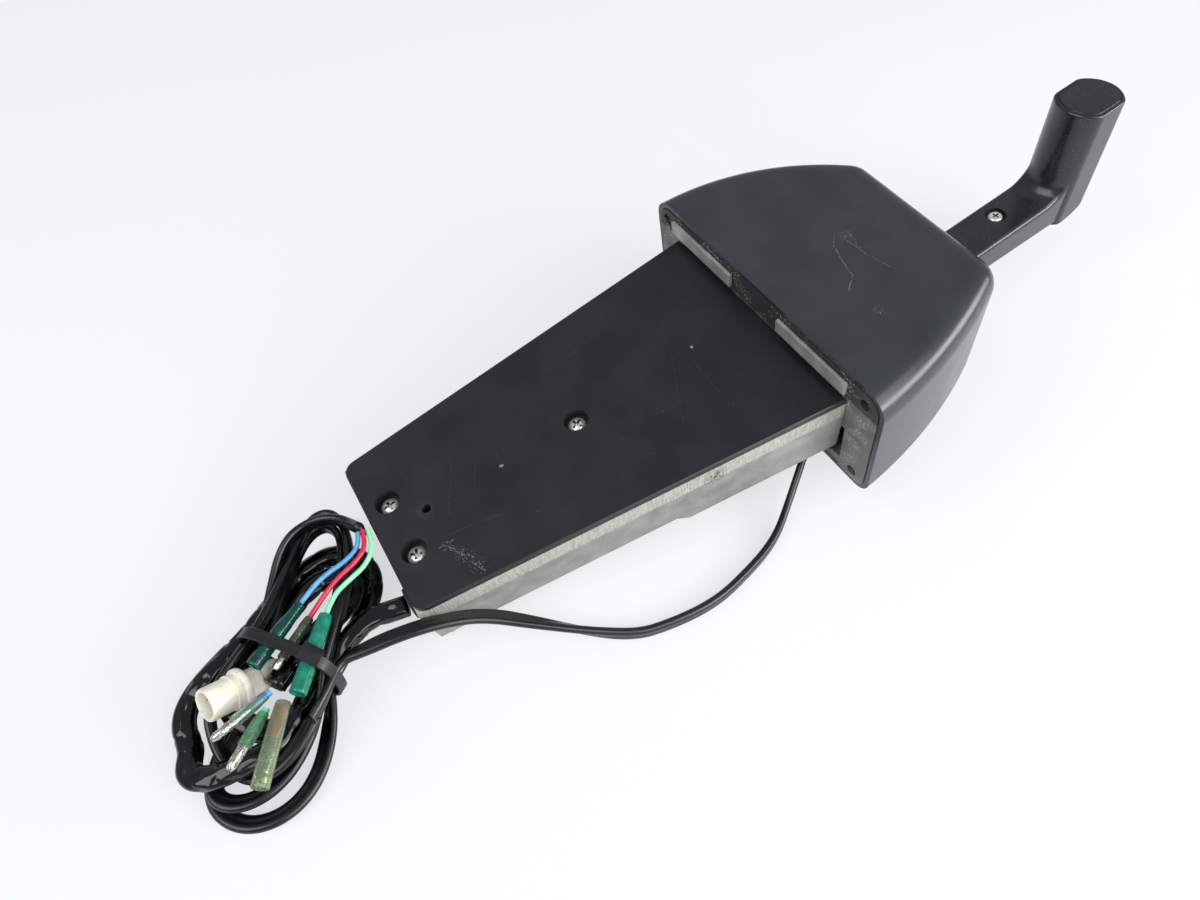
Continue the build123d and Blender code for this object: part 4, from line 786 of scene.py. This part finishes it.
trimCord, trimLine = makeTwinLead("trimCord", trimRoute, leadShape)
keepPiece(trimCord, "cord_black", "trim_lead", "lead_end", "cord_hank")
harnessCord, harnessLine = makeSheath("harnessCord", harnessRoute, sheathShape)
keepPiece(harnessCord, "cord_black", "harness_lead", "cord_hank", material=sheathFinish)
for name, route in wireRoutes.items():
    wire = makeSpline(name, route)
    wire.data.bevel_depth = 1.0 * mm
    wire.data.bevel_resolution = 4
    wire.data.use_fill_caps = True
    slot = "wire_" + name.removesuffix("Wire")
    keepPiece(wire, slot, slot)
print("cords laid:", round(arcLengths(trimLine)[-1], 3), round(arcLengths(harnessLine)[-1], 3))


# Pieces on the cords

def turnedMesh(name, start, end, profile, sides=32, shape=None):
    # surface of revolution from start to end; profile gives (share along, radius in mm);
    # the shape may push a ring in or out
    start, end = Vector(start) * mm, Vector(end) * mm
    way = end - start
    turn = way.to_track_quat("Z", "Y").to_matrix()
    form = bmesh.new()
    rings = []
    for share, radius in profile:
        ring = []
        for j in range(sides):
            angle = 2 * math.pi * j / sides
            size = radius * (shape(share, angle) if shape else 1.0)
            spot = Vector((size * math.cos(angle) * mm, size * math.sin(angle) * mm, share * way.length))
            ring.append(form.verts.new(start + turn @ spot))
        rings.append(ring)
    for a, b in zip(rings, rings[1:]):
        bridge(form, a, b)
    if profile[0] != profile[-1]:
        form.faces.new(reversed(rings[0]))
        form.faces.new(rings[-1])
    else:
        bmesh.ops.remove_doubles(form, verts=form.verts, dist=1e-7)
    return meshPiece(name, form, 38, True)


def sleeveProfile(radius, wall, neck):
    # a wall that closes on itself: necked wire end, straight barrel, open mouth, and back along the inside
    inner = radius - wall
    return [(0.0, neck), (0.03, neck + 0.25), (0.22, neck + 0.5), (0.33, radius * 0.93), (0.5, radius * 0.97),
            (0.95, radius), (0.985, radius + 0.05), (1.0, radius - 0.2), (1.0, inner + 0.1), (0.97, inner),
            (0.36, inner), (0.26, neck), (0.06, neck - 0.35), (0.0, neck - 0.3), (0.0, neck)]


def softlyDented(seed, depth):
    def shape(share, angle):
        dent = noise.noise(Vector((share * 5 + seed, math.cos(angle) * 0.8, math.sin(angle) * 0.8)))
        return 1 - depth * max(dent, 0)
    return shape


sleeveWall = 0.8
sleeveValues = {
    # name: radius, start, end, neck, finish, slot
    "darkSleeve": (3.0, (-251.2, -11.4, 30.3), (-274.4, -27.1, 30.3), 1.7, "darkTeal", "sleeve_green"),
    "smokySleeve": (2.0, (-250.1, -18.4, 29.4), (-264.5, -29.2, 29.4), 1.5, "smokyClear", "sleeve_clear"),
    "greenSleeve": (3.3, (-244.4, -21.3, 30.7), (-263.6, -45.9, 30.7), 2.4, "seaGreen", "sleeve_green"),
    "blueMaleSleeve": (2.3, (-273.0, -40.4, 30.8), (-286.3, -44.2, 30.6), 1.4, "cloudyClear", "sleeve_clear"),
    "greenMaleSleeve": (2.6, (-276.0, -45.8, 29.6), (-285.8, -54.0, 29.6), 1.6, "paleGreen", "sleeve_clear"),
    "longSleeve": (3.3, (-268.8, -46.2, 30.9), (-285.0, -71.2, 30.9), 2.5, "oliveClear", "sleeve_green"),
}
for number, (name, (radius, start, end, neck, finish, slot)) in enumerate(sleeveValues.items()):
    piece = turnedMesh(name, start, end, sleeveProfile(radius, sleeveWall, neck), 32, softlyDented(number * 9, 0.10))
    node = "female_sleeves" if slot == "sleeve_green" else "male_sleeves"
    keepPiece(piece, slot, node, material=sleeveFinishes[finish])

crimpValues = {
    # name: start, end, profile, in mm
    "darkBarrel": ((-253.3, -12.8, 30.3), (-272.4, -25.8, 30.3),
                   ((0, 0.9), (0.1, 1.2), (0.3, 1.7), (0.36, 2.0), (0.95, 2.05), (1.0, 1.8))),
    "smokyBullet": ((-251.6, -19.5, 29.4), (-268.0, -31.9, 29.4),
                    ((0, 0.9), (0.2, 1.1), (0.7, 1.1), (0.78, 1.5), (0.96, 1.5), (1.0, 0.9))),
    "greenBarrel": ((-245.9, -23.2, 30.7), (-262.5, -44.5, 30.7),
                    ((0, 1.0), (0.1, 1.3), (0.3, 1.8), (0.36, 2.1), (0.95, 2.2), (1.0, 1.9))),
    "blueBullet": ((-276.0, -41.3, 30.8), (-294.6, -46.6, 30.5),
                   ((0, 1.0), (0.2, 1.3), (0.5, 1.6), (0.56, 1.9), (0.9, 1.75), (0.96, 1.3), (1.0, 0.8))),
    "greenBullet": ((-277.9, -47.4, 29.6), (-292.4, -59.5, 29.6),
                    ((0, 1.0), (0.2, 1.3), (0.5, 1.7), (0.56, 2.0), (0.9, 1.9), (0.96, 1.5), (1.0, 0.9))),
    "longBarrel": ((-270.2, -48.4, 30.9), (-284.2, -70.0, 30.9),
                   ((0, 1.0), (0.1, 1.3), (0.45, 1.6), (0.5, 2.1), (0.95, 2.2), (1.0, 1.9))),
}
for number, (name, (start, end, profile)) in enumerate(crimpValues.items()):
    piece = turnedMesh(name, start, end, profile, 20, softlyDented(number * 5 + 60, 0.28))
    keepPiece(piece, "tinned", "bullet_terminals")

coreValues = {
    # insulated wire ends inside the lower sleeves: start, end, radius, slot
    "blueCore": ((-271.6, -40.0, 30.8), (-281.0, -42.7, 30.7), 1.35, "wire_blue"),
    "greenCore": ((-274.8, -44.8, 29.6), (-281.5, -50.4, 29.6), 1.35, "wire_green"),
    "redCore": ((-269.6, -47.4, 30.9), (-275.6, -56.7, 30.9), 2.1, "wire_red"),
}
for name, (start, end, radius, slot) in coreValues.items():
    piece = turnedMesh(name, start, end, ((0, radius), (1, radius)), 16)
    keepPiece(piece, slot)

plugValues = {
    "start": (-268.5, -23.6, 13.8), "end": (-294.0, -31.8, 28.2), "radius": 6.4, "wall": 1.5,
    "pins": ((0.0, 2.6), (2.2, -1.4), (-2.2, -1.4)), "pinSpan": (0.60, 0.93),
    "pinProfile": ((0, 0.9), (0.88, 0.9), (1.0, 0.45)),
}


def makePlug(values):
    # round nylon plug: grip body, collar and an open cup with three pins in it
    outer, inner = values["radius"], values["radius"] - values["wall"]
    profile = [(0.0, 3.9), (0.02, 4.5), (0.05, 4.9), (0.30, 5.0), (0.32, 5.5), (0.50, 5.5), (0.51, 7.6), (0.525, 7.9),
               (0.575, 7.9), (0.59, 7.6), (0.595, outer), (0.66, outer), (0.665, 6.9), (0.69, 6.9), (0.695, outer),
               (0.98, outer), (1.0, outer - 0.3), (1.0, inner + 0.25), (0.985, inner), (0.64, inner)]
    plug = turnedMesh("roundPlug", values["start"], values["end"], profile, 48)
    keepPiece(plug, "nylon_cream", "connector_shell")
    start, end = Vector(values["start"]), Vector(values["end"])
    turn = (end - start).to_track_quat("Z", "Y").to_matrix()
    for number, (a, b) in enumerate(values["pins"], 1):
        aside = turn @ Vector((a, b, 0))
        foot, tip = (start.lerp(end, share) + aside for share in values["pinSpan"])
        pin = turnedMesh("plugPin%d" % number, foot, tip, values["pinProfile"], 16)
        keepPiece(pin, "tinned", "connector_pins")
    return plug


roundPlug = makePlug(plugValues)
print("sleeves, crimps and plug made")


tieValues = {
    "start": (-275.5, -9.5), "end": (-250.0, -42.0), "low": 0.9, "high": 34.6, "width": 4.6, "thickness": 1.2,
    "squareness": 0.62, "steps": 96,
    "head": (7.0, 5.6, 4.6), "headAt": 62.0, "headOut": 0.8, "headBevel": 0.6,       # headAt in degrees along the loop
}


def makeTie(values):
    # moulded nylon strap pulled round the hank, with its lock on the near shoulder
    start, end = Vector((*values["start"], 0)) * mm, Vector((*values["end"], 0)) * mm
    way = (end - start).normalized()
    across = Vector((0, 0, 1)).cross(way)
    half, middle = (end - start).length / 2, (values["high"] + values["low"]) / 2 * mm
    rise = (values["high"] - values["low"]) / 2 * mm

    def loopAt(degrees):
        # a squared oval that stands across the hank
        angle = math.radians(degrees)
        c, s = math.cos(angle), math.sin(angle)
        reach = math.copysign(abs(c) ** values["squareness"], c) * half
        lift = math.copysign(abs(s) ** values["squareness"], s) * rise
        return start + way * (half + reach) + Vector((0, 0, middle + lift))

    def wayAt(degrees):
        return (loopAt(degrees + 1) - loopAt(degrees - 1)).normalized()

    form = bmesh.new()
    rings, count = [], values["steps"]
    w, t = values["width"] / 2 * mm, values["thickness"] * mm
    section = [(-w, 0), (-w, t * 0.7), (-w * 0.88, t), (w * 0.88, t), (w, t * 0.7), (w, 0)]
    for k in range(count):
        spot = loopAt(k * 360 / count)
        out = across.cross(wayAt(k * 360 / count))
        if out.dot(spot - start - way * half - Vector((0, 0, middle))) < 0:
            out.negate()
        rings.append([form.verts.new(spot + across * a + out * (b - t / 2)) for a, b in section])
    for k in range(count):
        bridge(form, rings[k], rings[(k + 1) % count])
    lock = bmesh.ops.create_cube(form, size=1.0)["verts"]
    spot, along = loopAt(values["headAt"]), wayAt(values["headAt"])
    out = along.cross(across)
    if out.z < 0:
        out.negate()
    for corner in lock:
        a, b, c = (corner.co[i] * values["head"][i] * mm for i in range(3))
        corner.co = spot + along * a + across * b + out * (c + values["headOut"] * mm)
    bmesh.ops.bevel(form, geom=[e for e in form.edges if all(v in lock for v in e.verts)],
                    offset=values["headBevel"] * mm, segments=2, affect="EDGES")
    return keepPiece(meshPiece("strapTie", form, 35), "tie_black", "cable_tie")


makeTie(tieValues)


# Screws

screwValues = {                              # inputs of the tree, in mm
    "Head Radius": 3.95, "Head Height": 2.6, "Dome Radius": 5.4, "Recess Width": 1.2, "Recess Length": 4.9,
    "Recess Depth": 2.0, "Shank Radius": 2.0, "Shank Length": 16.0,
}
# middle of each head's base where it lies, in mm, and the degrees that the recess is turned
screwPlaces = [(laidDown(*spot) / mm, spin) for spot, spin in
               (((-95.7, -0.6, -5.0), 24), ((-180.6, -15.5, -5.0), 66), ((-180.9, 12.0, -5.0), 8))]


def screwTree(labels):
    # Geometry Nodes tree: a cross-recess pan-head screw on every point of the input
    tree = bpy.data.node_groups.new("crossPanScrews", "GeometryNodeTree")

    def addSocket(label, kind, way="INPUT"):
        tree.interface.new_socket(label, in_out=way, socket_type="NodeSocket" + kind)

    addSocket("Geometry", "Geometry")
    for label in labels:
        addSocket(label, "Float")
    addSocket("Finish", "Material")
    addSocket("Geometry", "Geometry", "OUTPUT")
    given = addNode(tree, "NodeGroupInput").outputs
    result = addNode(tree, "NodeGroupOutput")

    def moved(shape, height, turn=0.0):
        up = made("ShaderNodeCombineXYZ", {"Z": height})
        return made("GeometryNodeTransform", {"Geometry": shape, "Translation": up, "Rotation": (0.0, 0.0, turn)})

    def combined(kind, first, *others):
        node = addNode(tree, "GeometryNodeMeshBoolean", operation=kind, solver="EXACT")
        for other in others:
            tree.links.new(other, node.inputs["Mesh 2"])
        tree.links.new(first, node.inputs["Mesh 1" if kind == "DIFFERENCE" else "Mesh 2"])
        return node.outputs[0]

    height, depth, length = given["Head Height"], given["Recess Depth"], given["Recess Length"]
    barrel = made("GeometryNodeMeshCylinder", {"Radius": given["Head Radius"], "Depth": height, "Vertices": 48}, "Mesh")
    ball = made("GeometryNodeMeshUVSphere", {"Radius": given["Dome Radius"], "Segments": 48, "Rings": 48}, "Mesh")
    head = combined("INTERSECT", moved(barrel, times(height, 0.5)),
                    moved(ball, worked("SUBTRACT", height, given["Dome Radius"])))
    # the recess is two crossed blades and a cone between them
    size = made("ShaderNodeCombineXYZ", {"X": length, "Y": given["Recess Width"], "Z": times(depth, 2.0)})
    blade = made("GeometryNodeMeshCube", {"Size": size}, "Mesh")
    core = made("GeometryNodeMeshCone", {"Radius Top": times(length, 0.33), "Depth": times(depth, 1.1),
                                         "Vertices": 24, "Radius Bottom": 0.2 * mm}, "Mesh")
    cut = combined("DIFFERENCE", head, moved(blade, height), moved(blade, height, math.pi / 2),
                   moved(core, worked("SUBTRACT", height, depth)))
    shank = made("GeometryNodeMeshCylinder", {"Radius": given["Shank Radius"], "Depth": given["Shank Length"],
                                              "Vertices": 32}, "Mesh")
    overlap = 0.3 * mm
    screw = combined("UNION", cut, moved(shank, worked("ADD", times(given["Shank Length"], -0.5), overlap)))
    facing = addNode(tree, "GeometryNodeInputNamedAttribute", {"Name": "facing"}, data_type="FLOAT_VECTOR").outputs[0]
    placed = made("GeometryNodeInstanceOnPoints", {"Points": given["Geometry"], "Instance": screw, "Rotation": facing})
    real = made("GeometryNodeRealizeInstances", {"Geometry": placed})
    feed(result, {0: made("GeometryNodeSetMaterial", {"Geometry": real, "Material": given["Finish"]})})
    return tree


def makeScrews(name, replaced, places, values):
    # all the screws as one plain mesh, standing along the cover plate's outward axis
    tree = screwTree(values)
    mesh = bpy.data.meshes.new(name + "Points")
    mesh.from_pydata([spot * mm for spot, spin in places], [], [])
    upright = (laidDown(0, 0, 1) / mm - laidDown(0, 0, 0) / mm).to_track_quat("Z", "Y").to_matrix()
    facing = mesh.attributes.new("facing", "FLOAT_VECTOR", "POINT")
    for item, (spot, spin) in zip(facing.data, places):
        item.vector = (upright @ Matrix.Rotation(math.radians(spin), 3, "Z")).to_euler()
    holder = intoScene(bpy.data.objects.new(name + "Points", mesh))
    modifier = holder.modifiers.new("screws", "NODES")
    modifier.node_group = tree
    for item in tree.interface.items_tree:
        if item.in_out == "INPUT" and item.name in values:
            modifier[item.identifier] = values[item.name] * mm
        elif item.in_out == "INPUT" and item.name == "Finish":
            modifier[item.identifier] = finishes["stainless"]
    plain = plainMesh(holder)
    plain.name = name
    for face in plain.polygons:
        face.use_smooth = True
    plain.set_sharp_from_angle(angle=math.radians(32))
    bpy.data.meshes.remove(mesh)
    return keepPiece(bpy.data.objects.new(name, plain), "stainless", replaced)


coverScrews = makeScrews("coverScrews", "cover_screws", screwPlaces, screwValues)
print("tie and screws made:", len(coverScrews.data.polygons), "screw faces")
